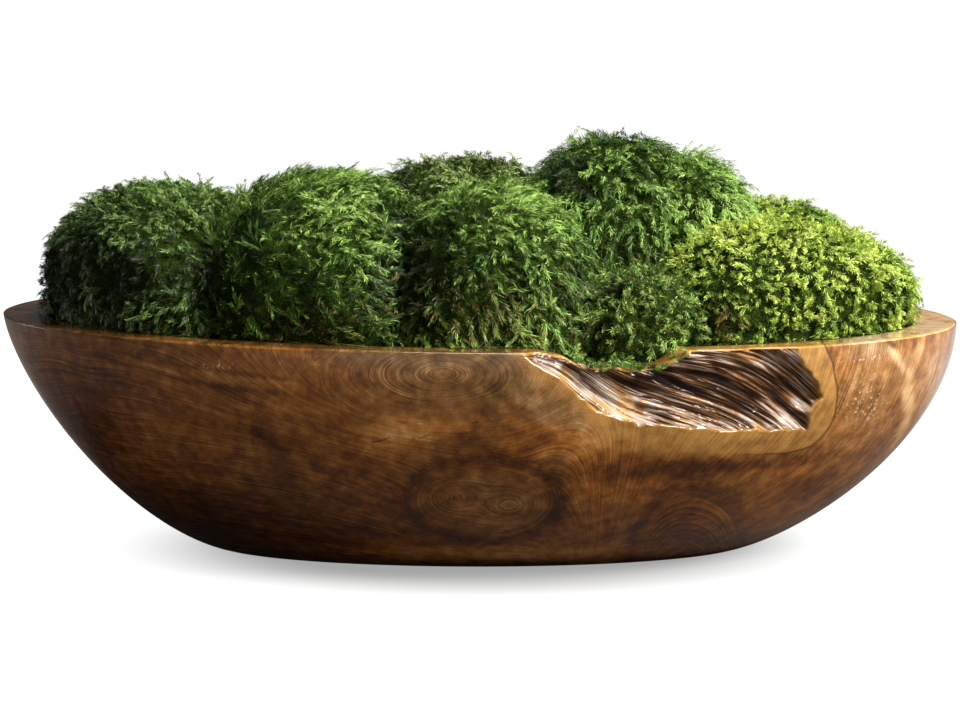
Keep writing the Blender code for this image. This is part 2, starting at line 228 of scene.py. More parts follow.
# Thin cracks in the wall, each through points x, z
CRACKS = (
    ((-0.065, 0.093), (-0.058, 0.0945), (-0.0535, 0.096)),
    ((-0.037, 0.0955), (-0.032, 0.098), (-0.028, 0.099)),
    ((-0.027, 0.106), (-0.026, 0.101)),
    ((0.012, 0.031), (0.020, 0.033)),
    ((-0.018, 0.061), (-0.0165, 0.054)),
    ((-0.217, 0.139), (-0.211, 0.143), (-0.205, 0.148)),
    ((-0.232, 0.090), (-0.204, 0.080), (-0.180, 0.069)),
)

# Small pale scuffs in the lacquer: x, z, half sizes, turn in degrees, and how dense they are
SCUFFS = (
    (0.235, 0.108, 0.013, 0.013, 0.0, 1.0),
    (-0.157, 0.139, 0.008, 0.003, 0.0, 1.0),
    (0.236, 0.137, 0.014, 0.002, 0.0, 1.0),
)

# Edge of the pale sapwood round the hollow, through points x, z, with its corners cut off in rounds, and its
# blur in millimetres, along x
SAP_OUTLINE = (
    (0.012, 0.175), (0.028, 0.140), (0.047, 0.124), (0.064, 0.107), (0.085, 0.092), (0.108, 0.0835),
    (0.130, 0.081), (0.160, 0.081), (0.190, 0.0795), (0.203, 0.083), (0.212, 0.092), (0.217, 0.106),
    (0.2175, 0.120), (0.214, 0.134), (0.2075, 0.146), (0.202, 0.175),
)
SAP_ROUNDS = 2
SAP_BLUR_X = (0.050, 0.110, 0.150, 0.200)
SAP_BLUR = (9.0, 4.0, 2.0, 0.7)

# How the sapwood's edge, the cracks and the tones waver. The first two have width, size and seed
SAP_WAVER = (0.003, 0.014, 31)
CRACK_WAVER = (0.002, 0.006, 32)
TONE_SWAY = (0.006, 0.004)

# Distances kept at the vertices: in millimetres, and at most this many metres
MILLIMETRES = 1000.0
FAR = 1.0

# Light and dark places of the torn wood inside the hollow: x, z, half sizes, turn in degrees, and tone
# They are partly the wood's own tone, partly painted light on lit strands and painted shade in crevices
TORN_TONES_LIGHT_AND_SHADE = (
    (0.058, 0.124, 0.040, 0.014, -38.0, 0.24),
    (0.092, 0.112, 0.026, 0.015, -24.0, 0.22),
    (0.090, 0.130, 0.008, 0.004, -20.0, -0.20),
    (0.112, 0.108, 0.005, 0.008, 40.0, -0.24),
    (0.150, 0.122, 0.046, 0.014, -12.0, -0.13),
    (0.190, 0.112, 0.016, 0.020, -35.0, 0.22),
    (0.128, 0.1015, 0.022, 0.005, -6.0, 0.18),
    (0.168, 0.0985, 0.034, 0.0030, 1.0, 0.06),
    (0.160, 0.139, 0.044, 0.0070, 0.0, 0.16),
)

# Shoots of moss: how they are spaced, how far they stand out and how they curl over
SAMPLES_PER_SHOOT = 9
PACKING = 0.7
SHOOT_SPACING = 0.0046
HIDDEN_SPACING = 0.0059
HIDDEN = ("moss_left_back", "moss_back_left", "moss_back_middle", "moss_back_right")
ROOT_DEPTH = 0.0030
SHOOT_HEIGHT = 0.0072
HEIGHT_RANGE = (0.75, 1.25)
BEND_RANGE = (0.7, 1.3)
AXIS_WILDNESS = 0.34
DROOP_WILDNESS = 0.60
HOOK = 0.25

# Clumps of shoots, creases between cushions, and the solid's relief: each changes the shoots' height and tint
# Their tint is painted light where shoots stand high, painted shade where they sit low, and painted light in
# creases
CLUMP_SIZE = 0.0125
CLUMP_SEED = 42
CLUMP_GAIN = 2.4
CLUMP_HEIGHT = 0.62
CLUMP_LIGHT_AND_SHADE = 0.36
RAY_START = 0.0003
BLOCKED_REACH = 0.0022
CLEAR_REACH = 0.0140
CREASE_HEIGHT = 0.45
CREASE_PAINTED_LIGHT = 0.16
NORMAL_ROUNDS = 2
RELIEF_ROUNDS = 3
RELIEF_SCALE = 0.004
RELIEF_LIMITS = (-1.5, 1.2)
RELIEF_HEIGHT = 0.12
RELIEF_LIGHT_AND_SHADE = 0.10

# Leaves along a shoot. Their spread is the angle from the shoot, in radians, from its foot to its tip
LEAVES_PER_SHOOT = 44
FIRST_LEAF = 0.6
LEAF_CROWDING = 0.85
LEAF_LENGTH = 0.0046
LEAF_TAPER = (1.2, 0.60)
LENGTH_RANGE = (0.75, 1.2)
LEAF_WIDTH = 0.00051
WIDTH_RANGE = (0.75, 1.25)
LEAF_SPREAD = ((0.0, 0.3, 1.0), (1.25, 0.95, 0.62))
SPREAD_WILDNESS = 0.12
GOLDEN_ANGLE = math.radians(137.5)
CURL_DROOP = 0.30
CURL_INWARD = 0.26
CURL_WILDNESS = 0.24
ROLL_WILDNESS = 0.5
OUTWARD_LEAN = 0.35

# Tint of the leaves, from 0 in the shade to 1: how it varies, and its range on green leaves and on dry ones
TINT_DRIFT = 0.42
DRIFT_SIZE = 0.030
DRIFT_SEED = 41
SHOOT_TINT_WILDNESS = 0.07
LEAF_TINT_WILDNESS = 0.24
# Painted light towards the top of each shoot, painted shade low on it
SHOOT_TOP_LIGHT_AND_SHADE = 0.35
TINT_MIDDLE = 0.65
GREEN_LIMIT = 0.86
DRY_TINTS = (0.90, 1.0)
FRONT_FADE = (0.10, 0.08)

# Map of the leaves: a column for each tint, and the places in it of a leaf's six corners and a core's three
LEAF_MAP = "OFBake"
TINT_COLUMNS = 32
LEAF_CORNERS = ((0.5, 0.02), (0.9, 0.5), (0.1, 0.5), (0.1, 0.5), (0.9, 0.5), (0.5, 0.98))
CORE_SPOT = ((0.004, 0.01), (0.028, 0.01), (0.016, 0.06))
CORE_INSET = 0.0022

# Moss at the bowl's rim, and the shoots that creep over it: along x, and across it from inside to outside
RIM_RATIO = 0.985
RIM_MARGIN = 0.002
RIM_CLEARANCE = 0.0005
RIM_MOSS_NODE = "moss_notch"
RIM_MOSS_SAMPLES = 900
RIM_MOSS_SPACING = 0.9 * SHOOT_SPACING
RIM_MOSS_X = (0.054, 0.124)
RIM_MOSS_ACROSS = (0.10, 1.05)
RIM_MOSS_LEAN = (0.0, -0.4, 1.0)
RIM_MOSS_REACH = 0.014

# Cushions: node, slot, sweep of the shoot tips (x, y, z), how far they curl over, leaf size, how wide the
# leaves spread from the shoot, tint, share of dry leaves
CUSHIONS = (
    Cushion("moss_left_end", "deep_moss", (-0.3, -0.3, -0.9), 0.70, 0.95, 0.85, 0.35, 0.01),
    Cushion("moss_left_back", "deep_moss", (-0.2, 0.4, -1.1), 0.80, 1.00, 1.00, 0.42, 0.01),
    Cushion("moss_left_front", "green_moss", (0.8, -0.4, 0.2), 0.85, 1.15, 0.66, 0.28, 0.02),
    Cushion("moss_centre_front", "green_moss", (0.6, -0.3, -0.9), 0.85, 1.15, 0.66, 0.33, 0.03),
    Cushion("moss_centre_back", "olive_moss", (-0.2, -0.4, -1.1), 0.80, 0.90, 1.00, 0.33, 0.03),
    Cushion("moss_tall", "green_moss", (0.0, -0.4, -1.5), 1.00, 1.08, 0.82, 0.27, 0.01),
    Cushion("moss_tall_right", "green_moss", (0.4, -0.3, -1.3), 0.95, 1.08, 0.82, 0.42, 0.01),
    Cushion("moss_notch", "green_moss", (0.1, -0.4, -0.3), 0.50, 0.85, 1.00, 0.36, 0.06),
    Cushion("moss_right_front", "yellow_moss", (0.2, -0.4, -0.4), 0.55, 0.80, 1.00, 0.50, 0.02),
    Cushion("moss_right_back", "yellow_moss", (0.3, 0.1, -1.2), 0.75, 0.85, 1.00, 0.33, 0.01),
    Cushion("moss_right_end", "yellow_moss", (0.5, -0.2, -0.8), 0.60, 0.85, 1.00, 0.38, 0.01),
    Cushion("moss_back_left", "deep_moss", (-0.2, 0.4, -1.1), 0.80, 1.05, 1.00, 0.45, 0.01),
    Cushion("moss_back_middle", "olive_moss", (0.1, 0.5, -1.1), 0.80, 1.05, 1.00, 0.45, 0.02),
    Cushion("moss_back_right", "green_moss", (0.2, 0.4, -1.2), 0.85, 1.10, 1.00, 0.42, 0.01),
)

# Painted light and painted shade on the front of the moss, lit tops and shaded sides, with some moss that
# is paler or darker in itself: x, z, half sizes, turn in degrees, and change of tint
MOSS_LIGHT_AND_SHADE_PATCHES = (
    (-0.086, 0.223, 0.030, 0.026, 0.0, 0.52),
    (-0.110, 0.198, 0.016, 0.020, 0.0, 0.20),
    (-0.186, 0.232, 0.030, 0.015, 0.0, 0.42),
    (-0.225, 0.212, 0.014, 0.008, 0.0, 0.25),
    (-0.168, 0.212, 0.016, 0.010, 0.0, 0.22),
    (-0.208, 0.192, 0.056, 0.024, 0.0, -0.46),
    (-0.205, 0.158, 0.060, 0.009, 0.0, 0.14),
    (-0.132, 0.185, 0.026, 0.044, 0.0, 0.02),
    (-0.092, 0.168, 0.036, 0.022, 0.0, -0.36),
    (-0.062, 0.180, 0.018, 0.030, 0.0, -0.42),
    (-0.012, 0.190, 0.026, 0.024, 0.0, -0.20),
    (-0.047, 0.196, 0.016, 0.050, 8.0, -0.36),
    (0.018, 0.226, 0.040, 0.018, 0.0, 0.24),
    (0.036, 0.232, 0.018, 0.010, 0.0, 0.30),
    (0.004, 0.160, 0.050, 0.016, 0.0, 0.04),
    (0.040, 0.205, 0.018, 0.030, 0.0, 0.14),
    (0.058, 0.222, 0.012, 0.010, 0.0, 0.20),
    (0.112, 0.226, 0.034, 0.026, 0.0, 0.12),
    (0.142, 0.215, 0.018, 0.030, 0.0, 0.26),
    (0.070, 0.200, 0.014, 0.034, 10.0, -0.28),
    (0.044, 0.243, 0.020, 0.014, -20.0, -0.34),
    (0.168, 0.212, 0.036, 0.018, 0.0, 0.50),
    (0.225, 0.190, 0.040, 0.030, -20.0, 0.20),
    (0.255, 0.185, 0.016, 0.026, 0.0, 0.08),
    (0.147, 0.160, 0.007, 0.014, 0.0, -0.25),
    (0.164, 0.191, 0.013, 0.009, 0.0, -0.26),
    (0.163, 0.164, 0.016, 0.014, 0.0, -0.24),
    (0.235, 0.158, 0.050, 0.012, -8.0, 0.18),
    (-0.024, 0.150, 0.018, 0.008, 0.0, 0.34),
    (0.121, 0.153, 0.010, 0.009, 0.0, 0.60),
    (0.085, 0.180, 0.020, 0.018, 0.0, 0.10),
)

# Patches with dry leaves: x, z, half sizes, turn in degrees, and the share of the leaves that are dry
DRY_PATCHES = (
    (0.148, 0.162, 0.012, 0.011, 0.0, 0.90),
    (0.062, 0.159, 0.009, 0.007, 0.0, 0.35),
    (-0.116, 0.153, 0.012, 0.006, 0.0, 0.40),
    (-0.052, 0.170, 0.006, 0.008, 0.0, 0.25),
    (0.004, 0.168, 0.040, 0.022, 0.0, 0.42),
    (0.098, 0.170, 0.024, 0.024, 0.0, 0.24),
    (-0.085, 0.158, 0.040, 0.010, 0.0, 0.24),
    (-0.200, 0.152, 0.070, 0.008, 0.0, 0.16),
)

# Colours of each moss: in the shade, the leaf, the sunlit leaf
MOSS_COLOURS = {
    "deep_moss": ((0.012, 0.021, 0.006), (0.032, 0.078, 0.007), (0.210, 0.350, 0.082)),
    "green_moss": ((0.011, 0.024, 0.004), (0.048, 0.134, 0.006), (0.320, 0.505, 0.105)),
    "olive_moss": ((0.010, 0.018, 0.004), (0.058, 0.108, 0.010), (0.310, 0.420, 0.120)),
    "yellow_moss": ((0.018, 0.036, 0.003), (0.102, 0.245, 0.011), (0.530, 0.660, 0.115)),
}
DRY_COLOUR = (0.170, 0.100, 0.042)

# Noise along the grain: scale, how fast it changes from ring to ring, and detail
RING_STREAKS = (10.0, 1.3, 3.0)
HAIR_STREAKS = (45.0, 5.0, 2.0)
DRAWN_STREAKS = (20.0, 0.5, 6.0)
TORN_STREAKS = (25.0, 0.036, 5.0)

# Noise the same in every direction: scale, detail and distortion
WOOD_CLOUDS = (22.0, 6.0, 1.2)
WOOD_MOTTLE = (120.0, 5.0)
WARM_CLOUDS = (40.0, 3.0)
GLINT_CLOUDS = (55.0, 2.0)
SPECKS = (480.0, 3.0)

# Heartwood: what its shade is made of, and its colours from dark to pale. The shade's shares are those of the
# clouds, the drawn streaks, the mottle and the hairs
MIDDLE_SHADE = 0.46
TONE_GAIN = 0.42
SHADE_SHARES = (0.50, 0.76, 0.82, 1.15)
RING_SHARE = 0.95
PALE_RING_RANGE = (0.56, 0.70)
PALE_RING_SHARE = 0.16
WARM_SHARE = 1.6
WARM_RANGE = (-1.3, 0.45)
WARM_STOPS = (
    (0.02, (0.025, 0.007, 0.001)), (0.28, (0.105, 0.031, 0.004)), (0.50, (0.260, 0.090, 0.012)),
    (0.72, (0.470, 0.195, 0.036)), (0.98, (0.740, 0.430, 0.160)),
)
OLIVE_STOPS = (
    (0.02, (0.022, 0.010, 0.002)), (0.28, (0.084, 0.039, 0.007)), (0.50, (0.190, 0.096, 0.026)),
    (0.72, (0.350, 0.205, 0.098)), (0.98, (0.610, 0.450, 0.270)),
)

# Sapwood, the dark line round it, cracks and scuffs. Ranges of distance and of blur are in millimetres
SAPWOOD_RANGE = (0.2, 0.75)
SAPWOOD_COLOURS = ((0.19, 0.085, 0.016), (0.47, 0.245, 0.062))
SAP_LINE_RANGE = (0.9, 0.2)
SAP_SHARP_RANGE = (2.2, 1.0)
SAP_LINE_SHARE = 0.7
CRACK_RANGE = (0.75, 0.15)
CRACK_SHARE = 0.85
CRACK_COLOUR = (0.030, 0.011, 0.004)
SPECK_RANGE = (0.58, 0.66)
SPECK_SHARE = 0.7
SPECK_COLOUR = (0.85, 0.78, 0.68)

# Torn fibres: what their height is made of, and their colours from the clefts, partly painted shade, to the
# strands
THREAD_SHARE = 2.3
STRAND_SHARE = 0.30
TORN_MIDDLE = 0.42
TORN_STOPS = (
    (0.34, (0.006, 0.003, 0.002)), (0.50, (0.030, 0.012, 0.004)), (0.64, (0.120, 0.050, 0.014)),
    (0.80, (0.320, 0.150, 0.048)), (1.0, (0.600, 0.400, 0.200)),
)
# Painted glints: pale reflections painted here and there on the higher, lit strands of torn wood
GLINT_LIT_RANGE = (0.60, 0.86)
GLINT_CLOUD_RANGE = (0.42, 0.56)
GLINT_SHARE = 0.70
PAINTED_GLINT_COLOUR = (0.50, 0.46, 0.43)

# Surface of the teak: height of its grain, and its relief's strength and distance. Its roughness follows the
# rings and its lacquer the wear: each has the range of what it follows, then its own
GRAIN_HEIGHT = 0.08
TEAK_RELIEF = (0.8, 0.0022)
TEAK_ROUGHNESS = (0.2, 0.8, 0.50, 0.38)
TEAK_COAT = (0.0, 1.0, 1.0, 0.32)

# Leaf colours: where along the tint they change, and how they fade to painted shade at the leaf's root
# and to painted sunlight at its tip
LEAF_INPUTS = ("Shade", "Leaf", "Sunlit", "Dry")
GREEN_TINTS = (0.02, 0.45)
SUNLIT_TINTS = (0.40, 0.88)
DRY_FROM = 0.885
ROOT_PAINTED_SHADE = (0.0, 0.60, 0.15, 1.0)
TIP_SUN = 0.6
TIP_PAINTED_LIGHT = (0.55, 1.0)

# Crumbly materials: noise, colours, relief's strength and distance, roughness and specular level. The foam is
# the bed between the cushions and the wall, and the peat the dead moss under the leaves
CRUMB_INPUTS = ("Scale", "Detail", "Roughness", "Distortion")
FOAM = Crumb(
    (260.0, 5.0, 0.5, 0.0), ((0.35, (0.010, 0.012, 0.005)), (0.65, (0.060, 0.045, 0.022))),
    (0.8, 0.002), 0.95, 0.5,
)
PEAT = Crumb(
    (620.0, 4.0, 0.6, 2.5),
    ((0.38, (0.003, 0.005, 0.001)), (0.52, (0.018, 0.032, 0.005)), (0.66, (0.060, 0.100, 0.020))),
    (0.9, 0.0015), 1.0, 0.0,
)

# Layout of the node trees
NODES_IN_COLUMN = 6
NODE_WIDTH = 240.0
NODE_HEIGHT = 190.0

# Camera, at the photograph's angle
CAMERA_PLACE = (0.0, -2.44, 0.412)
CAMERA_PITCH = math.radians(6.83)
CAMERA_LENS = 143.25
SENSOR_WIDTH = 36.0

# Lights: place, width, height, power, colour. All are turned to the target
TARGET = (0.0, 0.0, 0.12)
LIGHTS = {
    "key": Light((1.45, -1.10, 1.25), 0.7, 0.7, 104.0, (1.0, 0.97, 0.92)),
    "top_panel": Light((0.35, 0.25, 1.7), 1.1, 0.8, 34.0, (1.0, 1.0, 0.98)),
    "front_panel": Light((0.3, -3.0, 0.75), 1.4, 0.6, 17.0, (1.0, 0.98, 0.95)),
    "left_panel": Light((-1.9, 1.0, 0.6), 0.9, 0.9, 9.0, (0.92, 0.96, 1.0)),
}
WORLD_STRENGTH = 0.06

# Floor: its size, the ellipse round the bowl where its shadow shows, its whiteness, lowered near the bowl as
# a painted shadow, and its glow that only reflections see, a painted reflection, over the distance in such
# ellipses, how the glow fades to the left, and its colour to the lights and to the camera
FLOOR_SIZE = 60.0
SHADOW_HALF_LENGTH = 0.215
SHADOW_HALF_DEPTH = 0.190
FLOOR_WHITE_AND_PAINTED_SHADOW = (0.60, 1.17, 0.37, 1.03)
FLOOR_REFLECTED_GLOW = (1.7, 3.2, 0.0, 0.62)
REFLECTED_GLOW_SIDE = (-0.5, -0.05, 0.1, 1.0)
FLOOR_COLOURS = ((0.10, 0.08, 0.07), (0.10, 0.10, 0.10))


# Mesh helpers


def smooth_step(value):
    """The value eased from 0 to 1, and level beyond."""
    value = np.clip(value, 0.0, 1.0)
    return value * value * (3.0 - 2.0 * value)


def unit(vectors):
    """The vectors at length 1."""
    return vectors / np.maximum(np.linalg.norm(vectors, axis=-1, keepdims=True), 1e-12)


def lattice_noise(points, cell, seed):
    """Smooth noise from 0 to 1 at 3-D points, with features about one cell wide."""
    table = np.random.default_rng(seed).random((LATTICE_SIZE,) * 3)
    scaled = np.asarray(points) / np.asarray(cell)
    low = np.floor(scaled).astype(int)
    part = smooth_step(scaled - low)
    total = 0.0
    for corner in itertools.product((0, 1), repeat=3):
        index = (low + np.array(corner)) % LATTICE_SIZE
        weight = np.prod(np.where(corner, part, 1.0 - part), axis=-1)
        total = total + weight * table[index[..., 0], index[..., 1], index[..., 2]]
    return total


def add_mesh(name, points, corners, starts, material):
    """An object from arrays: the faces' corners in one row, and where each face starts in it."""
    mesh = bpy.data.meshes.new(name)
    mesh.vertices.add(len(points))
    mesh.vertices.foreach_set("co", np.asarray(points, np.float32).ravel())
    mesh.loops.add(len(corners))
    mesh.loops.foreach_set("vertex_index", np.asarray(corners, np.int32))
    mesh.polygons.add(len(starts))
    mesh.polygons.foreach_set("loop_start", np.asarray(starts, np.int32))
    mesh.materials.append(material)
    mesh.update(calc_edges=True)
    mesh.shade_smooth()
    made = bpy.data.objects.new(name, mesh)
    bpy.context.scene.collection.objects.link(made)
    return made


def write_attribute(mesh, name, values):
    """Keeps one value a vertex under a name that a material can read."""
    written = mesh.attributes.new(name, "FLOAT", "POINT")
    written.data.foreach_set("value", np.asarray(values, np.float32).ravel())


def turned_distance(x, z, place):
    """Distance from a place's middle, 1 at its half sizes."""
    middle_x, middle_z, half_x, half_z, turn = place[:5]
    cosine, sine = math.cos(math.radians(turn)), math.sin(math.radians(turn))
    along = (x - middle_x) * cosine + (z - middle_z) * sine
    across = (z - middle_z) * cosine - (x - middle_x) * sine
    return np.hypot(along / half_x, across / half_z)


def patch_sum(x, z, patches):
    """Sum of the patches' last numbers, each fading out from its middle."""
    total = np.zeros(x.shape)
    for patch in patches:
        total += patch[-1] * np.exp(-turned_distance(x, z, patch) ** 2)
    return total


# Bowl form


def rim_level(x):
    """Height of the sloping rim, before it was worn down."""
    return RIM_HEIGHT - RIM_SLOPE * x


def rim_dip(x, y):
    """How far the rim has worn down above the hollow."""
    return np.where(y < 0.0, np.interp(x, DIP_X, DIP_DEPTH), 0.0)


def rim_top(x, y):
    """Height of the rim as it is, worn down above the hollow."""
    return rim_level(x) - rim_dip(x, y)


def wall_spread(rightness, level):
    """How far the wall has spread from the base, 0, to the rim, 1. Rightness is 1 at the right end."""
    rise = RISE_POWERS[0] + (RISE_POWERS[1] - RISE_POWERS[0]) * rightness
    spread = SPREAD_POWERS[0] + (SPREAD_POWERS[1] - SPREAD_POWERS[0]) * rightness
    return (1.0 - (1.0 - np.clip(level, 0.0, 1.0)) ** rise) ** (1.0 / spread)


def outer_points(angle, level):
    """Points on the outside of the wall, from level 0 at the base to 1 at the rim."""
    spread = wall_spread(0.5 + 0.5 * np.cos(angle), level)
    x = (BASE_HALF_LENGTH + (RIM_HALF_LENGTH - BASE_HALF_LENGTH) * spread) * np.cos(angle)
    y = (BASE_HALF_DEPTH + (RIM_HALF_DEPTH - BASE_HALF_DEPTH) * spread) * np.sin(angle)
    return np.stack((x, y, level * rim_level(x)), axis=-1)


def inner_points(angle, level):
    """Points on the inside of the wall, from level 0 at the floor to 1 at the rim."""
    spread = wall_spread(0.5 + 0.5 * np.cos(angle), level)
    length = FLOOR_HALF_LENGTH + (RIM_HALF_LENGTH - RIM_THICKNESS - FLOOR_HALF_LENGTH) * spread
    depth = FLOOR_HALF_DEPTH + (RIM_HALF_DEPTH - RIM_THICKNESS - FLOOR_HALF_DEPTH) * spread
    x, y = length * np.cos(angle), depth * np.sin(angle)
    return np.stack((x, y, FLOOR_HEIGHT + level * (rim_level(x) - FLOOR_HEIGHT)), axis=-1)


def hollow_distances(x, depth):
    """How far a place on the wall is above the hollow's lip, and how far before its right end."""
    above_lip = np.interp(x, HOLLOW_LIP_X, HOLLOW_LIP_DEPTH) - depth
    above_lip = np.where(x < HOLLOW_LIP_X[0], -1.0, above_lip)
    return above_lip, np.interp(depth, HOLLOW_END_DEPTH, HOLLOW_END_X) - x


def fibre_run(x, depth):
    """How deep the torn fibre through each place lies where it passes the hollow's middle."""
    step = (FIBRE_MIDDLE_X - x) / FIBRE_STEPS
    for _ in range(FIBRE_STEPS):
        at_rim = np.interp(x, FIBRE_X, RIM_SHARE)
        share = at_rim + (1.0 - at_rim) * smooth_step(depth / FULL_FALL_DEPTH)
        depth = depth + step * share * np.interp(x, FIBRE_X, FIBRE_FALL)
        x = x + step
    return depth


def fibre_relief(x, run, fibre):
    """Rounded strands along the fibres, from 0 in the sharp clefts between them to 1."""
    places = np.stack((x / fibre.length, run / fibre.width, np.zeros_like(x)), axis=-1)
    wander = lattice_noise(places * np.array((1.0, WANDER_PITCH, 1.0)), 1.0, fibre.wander_seed)
    places[..., 1] += FIBRE_WANDER * wander
    strands = STRAND_GAIN * np.abs(lattice_noise(places, 1.0, fibre.seed) - 0.5)
    return np.clip(strands, 0.0, 1.0) ** STRAND_ROUNDING


def ridge_relief(x, depth):
    """Broad slanting ridges in the hollow, as in the solid."""
    wave = RIDGE_WAVE * np.sin(2.0 * math.pi * x / RIDGE_WAVE_LENGTH)
    across = depth * math.cos(RIDGE_SLANT) - x * math.sin(RIDGE_SLANT) + wave
    return RIDGE_HEIGHT * np.sin(2.0 * math.pi * across / RIDGE_SPACING)


def hollow_form(x, depth, above_lip, before_end):
    """How far the wall lies back in the hollow without its fibres, less so close under the unworn rim."""
    fall = 1.0 - np.exp(-np.maximum(above_lip, 0.0) / LIP_FALL)
    fall = fall * (1.0 - np.exp(-np.maximum(before_end, 0.0) / END_FALL))
    brow = BROW_RECESS + (1.0 - BROW_RECESS) * smooth_step(depth / BROW_DEPTH)
    worn = smooth_step((DIP_X[-1] - x) / BROW_DEPTH)
    return fall * (HOLLOW_RECESS * np.maximum(brow, worn) + ridge_relief(x, depth))


def hollow_recess(x, depth):
    """How far the front wall lies back in the hollow, how worn it is, and the height of its fibres."""
    above_lip, before_end = hollow_distances(x, depth)
    waver = lattice_noise(np.stack((x, depth, 0.0 * x), axis=-1), LIP_WAVER_SIZE, LIP_SEED) - 0.5
    above_lip, before_end = above_lip + LIP_WAVER * waver, before_end + LIP_WAVER * waver
    inside = (above_lip > 0.0) & (before_end > 0.0)
    from_edge = np.minimum(above_lip, before_end)
    run = fibre_run(x, depth)
    coarse, fine = fibre_relief(x, run, COARSE_FIBRE), fibre_relief(x, run, FINE_FIBRE)
    fibres = COARSE_FIBRE.height * (STRAND_MIDDLE - coarse) + FINE_FIBRE.height * (STRAND_MIDDLE - fine)
    fibres = smooth_step(from_edge / (2.0 * MASK_WIDTH)) * fibres
    recess = np.where(inside, hollow_form(x, depth, above_lip, before_end) + fibres, 0.0)
    mask = smooth_step(from_edge / MASK_WIDTH)
    return recess, mask, COARSE_SHARE * coarse + FINE_SHARE * fine


def bowl_angles():
    """Angles of the mesh's columns."""
    runs = [np.linspace(start, stop, columns, endpoint=False) for start, stop, columns in COLUMN_RUNS]
    return np.radians(np.concatenate(runs))


def outer_levels():
    """Levels of the rows up the outside, closer together where the hollow lies."""
    lower = UPPER_START * (np.arange(LOWER_ROWS) / LOWER_ROWS) ** LOWER_CROWDING
    upper = UPPER_START + (1.0 - UPPER_START) * np.arange(UPPER_ROWS) / UPPER_ROWS
    return np.concatenate((lower, upper, (1.0 - OUTER_ROUND / RIM_HEIGHT,)))


def inward(angle):
    """Level direction from the outer wall towards the inside."""
    away = np.stack((np.cos(angle) / RIM_HALF_LENGTH, np.sin(angle) / RIM_HALF_DEPTH, 0.0 * angle), axis=-1)
    return -unit(away)


def outer_wall(angle):
    """Rows of points up the outside, with the hollow's mask and its fibres at each."""
    level = outer_levels()[None, :]
    column = angle[:, None]
    rim = outer_points(angle, np.ones_like(angle))
    dip = rim_dip(rim[:, 0], rim[:, 1])[:, None]
    reach = smooth_step((level - DIP_REACH) / (1.0 - DIP_REACH))
    points = outer_points(column, level - dip * reach / rim_level(rim[:, :1]))
    depth = rim_level(points[..., 0]) - points[..., 2]
    recess, mask, fibres = hollow_recess(points[..., 0], depth)
    front = points[..., 1] < 0.0
    points = points + inward(angle)[:, None, :] * np.where(front, recess, 0.0)[..., None]
    return points, np.where(front, mask, 0.0), fibres, dip


def rim_and_inside(angle, edge, dip):
    """Rows of points over the rounded rim and down the inside to the floor."""
    up = np.array((0.0, 0.0, 1.0))
    outer_top = edge + up * OUTER_ROUND
    inner_rim = inner_points(angle, np.ones_like(angle)) - up * dip
    across = unit(inner_rim - outer_top)
    quarter = np.linspace(0.0, math.pi / 2.0, ROUND_STEPS + 1)[1:]
    rows = []
    for turn in quarter:
        rows.append(edge + (across * (1.0 - math.cos(turn)) + up * math.sin(turn)) * OUTER_ROUND)
    start, stop = outer_top + across * OUTER_ROUND, inner_rim - across * INNER_ROUND
    for part in np.linspace(0.0, 1.0, RIM_STEPS + 1)[1:]:
        rows.append(start + (stop - start) * part)
    for turn in quarter:
        rows.append(stop + (across * math.sin(turn) - up * (1.0 - math.cos(turn))) * INNER_ROUND)
    for level in INNER_LEVELS:
        rows.append(inner_points(angle, np.full_like(angle, level)))
    return np.stack(rows, axis=1)


# Wood fields


def upright_run(points):
    """A measure across the upright grain, whose lines follow the bowl's outline at its right end."""
    x, y = points[..., 0], points[..., 1]
    outline = np.hypot(x, y * RIM_HALF_LENGTH / RIM_HALF_DEPTH)
    return RIM_HALF_LENGTH * x / np.maximum(outline, MIDDLE_REACH)


def plain_rings(points, sway):
    """Ring count of the plain grain, level at the left and upright at the right."""
    x, z = points[..., 0], points[..., 2]
    upright = smooth_step((x - UPRIGHT_X[0]) / (UPRIGHT_X[1] - UPRIGHT_X[0]))
    level_rings = (z + RING_BOW * x * x / RIM_HALF_LENGTH + SWAY * sway) / RING_SPACING
    upright_rings = (upright_run(points) + 0.5 * SWAY * sway) / UPRIGHT_SPACING
    return level_rings + upright * (upright_rings - level_rings)


def knot_rings(x, z, sway, knot, out):
    """Ring count within a knot, round its hearts in the middle and along its outline at the border."""
    joined = 0.0
    for heart_x, heart_z in knot.hearts:
        near = np.hypot((x - heart_x) / knot.half_x, (z - heart_z) / knot.half_z)
        joined = joined + np.exp(-HEART_JOIN * np.hypot(near, HEART_BLUR))
    from_heart = -np.log(joined) / HEART_JOIN + HEART_SWAY * sway
    share = np.clip(out, 0.0, 1.0) ** 2
    return knot.count * (from_heart * (1.0 - share) + out * share)


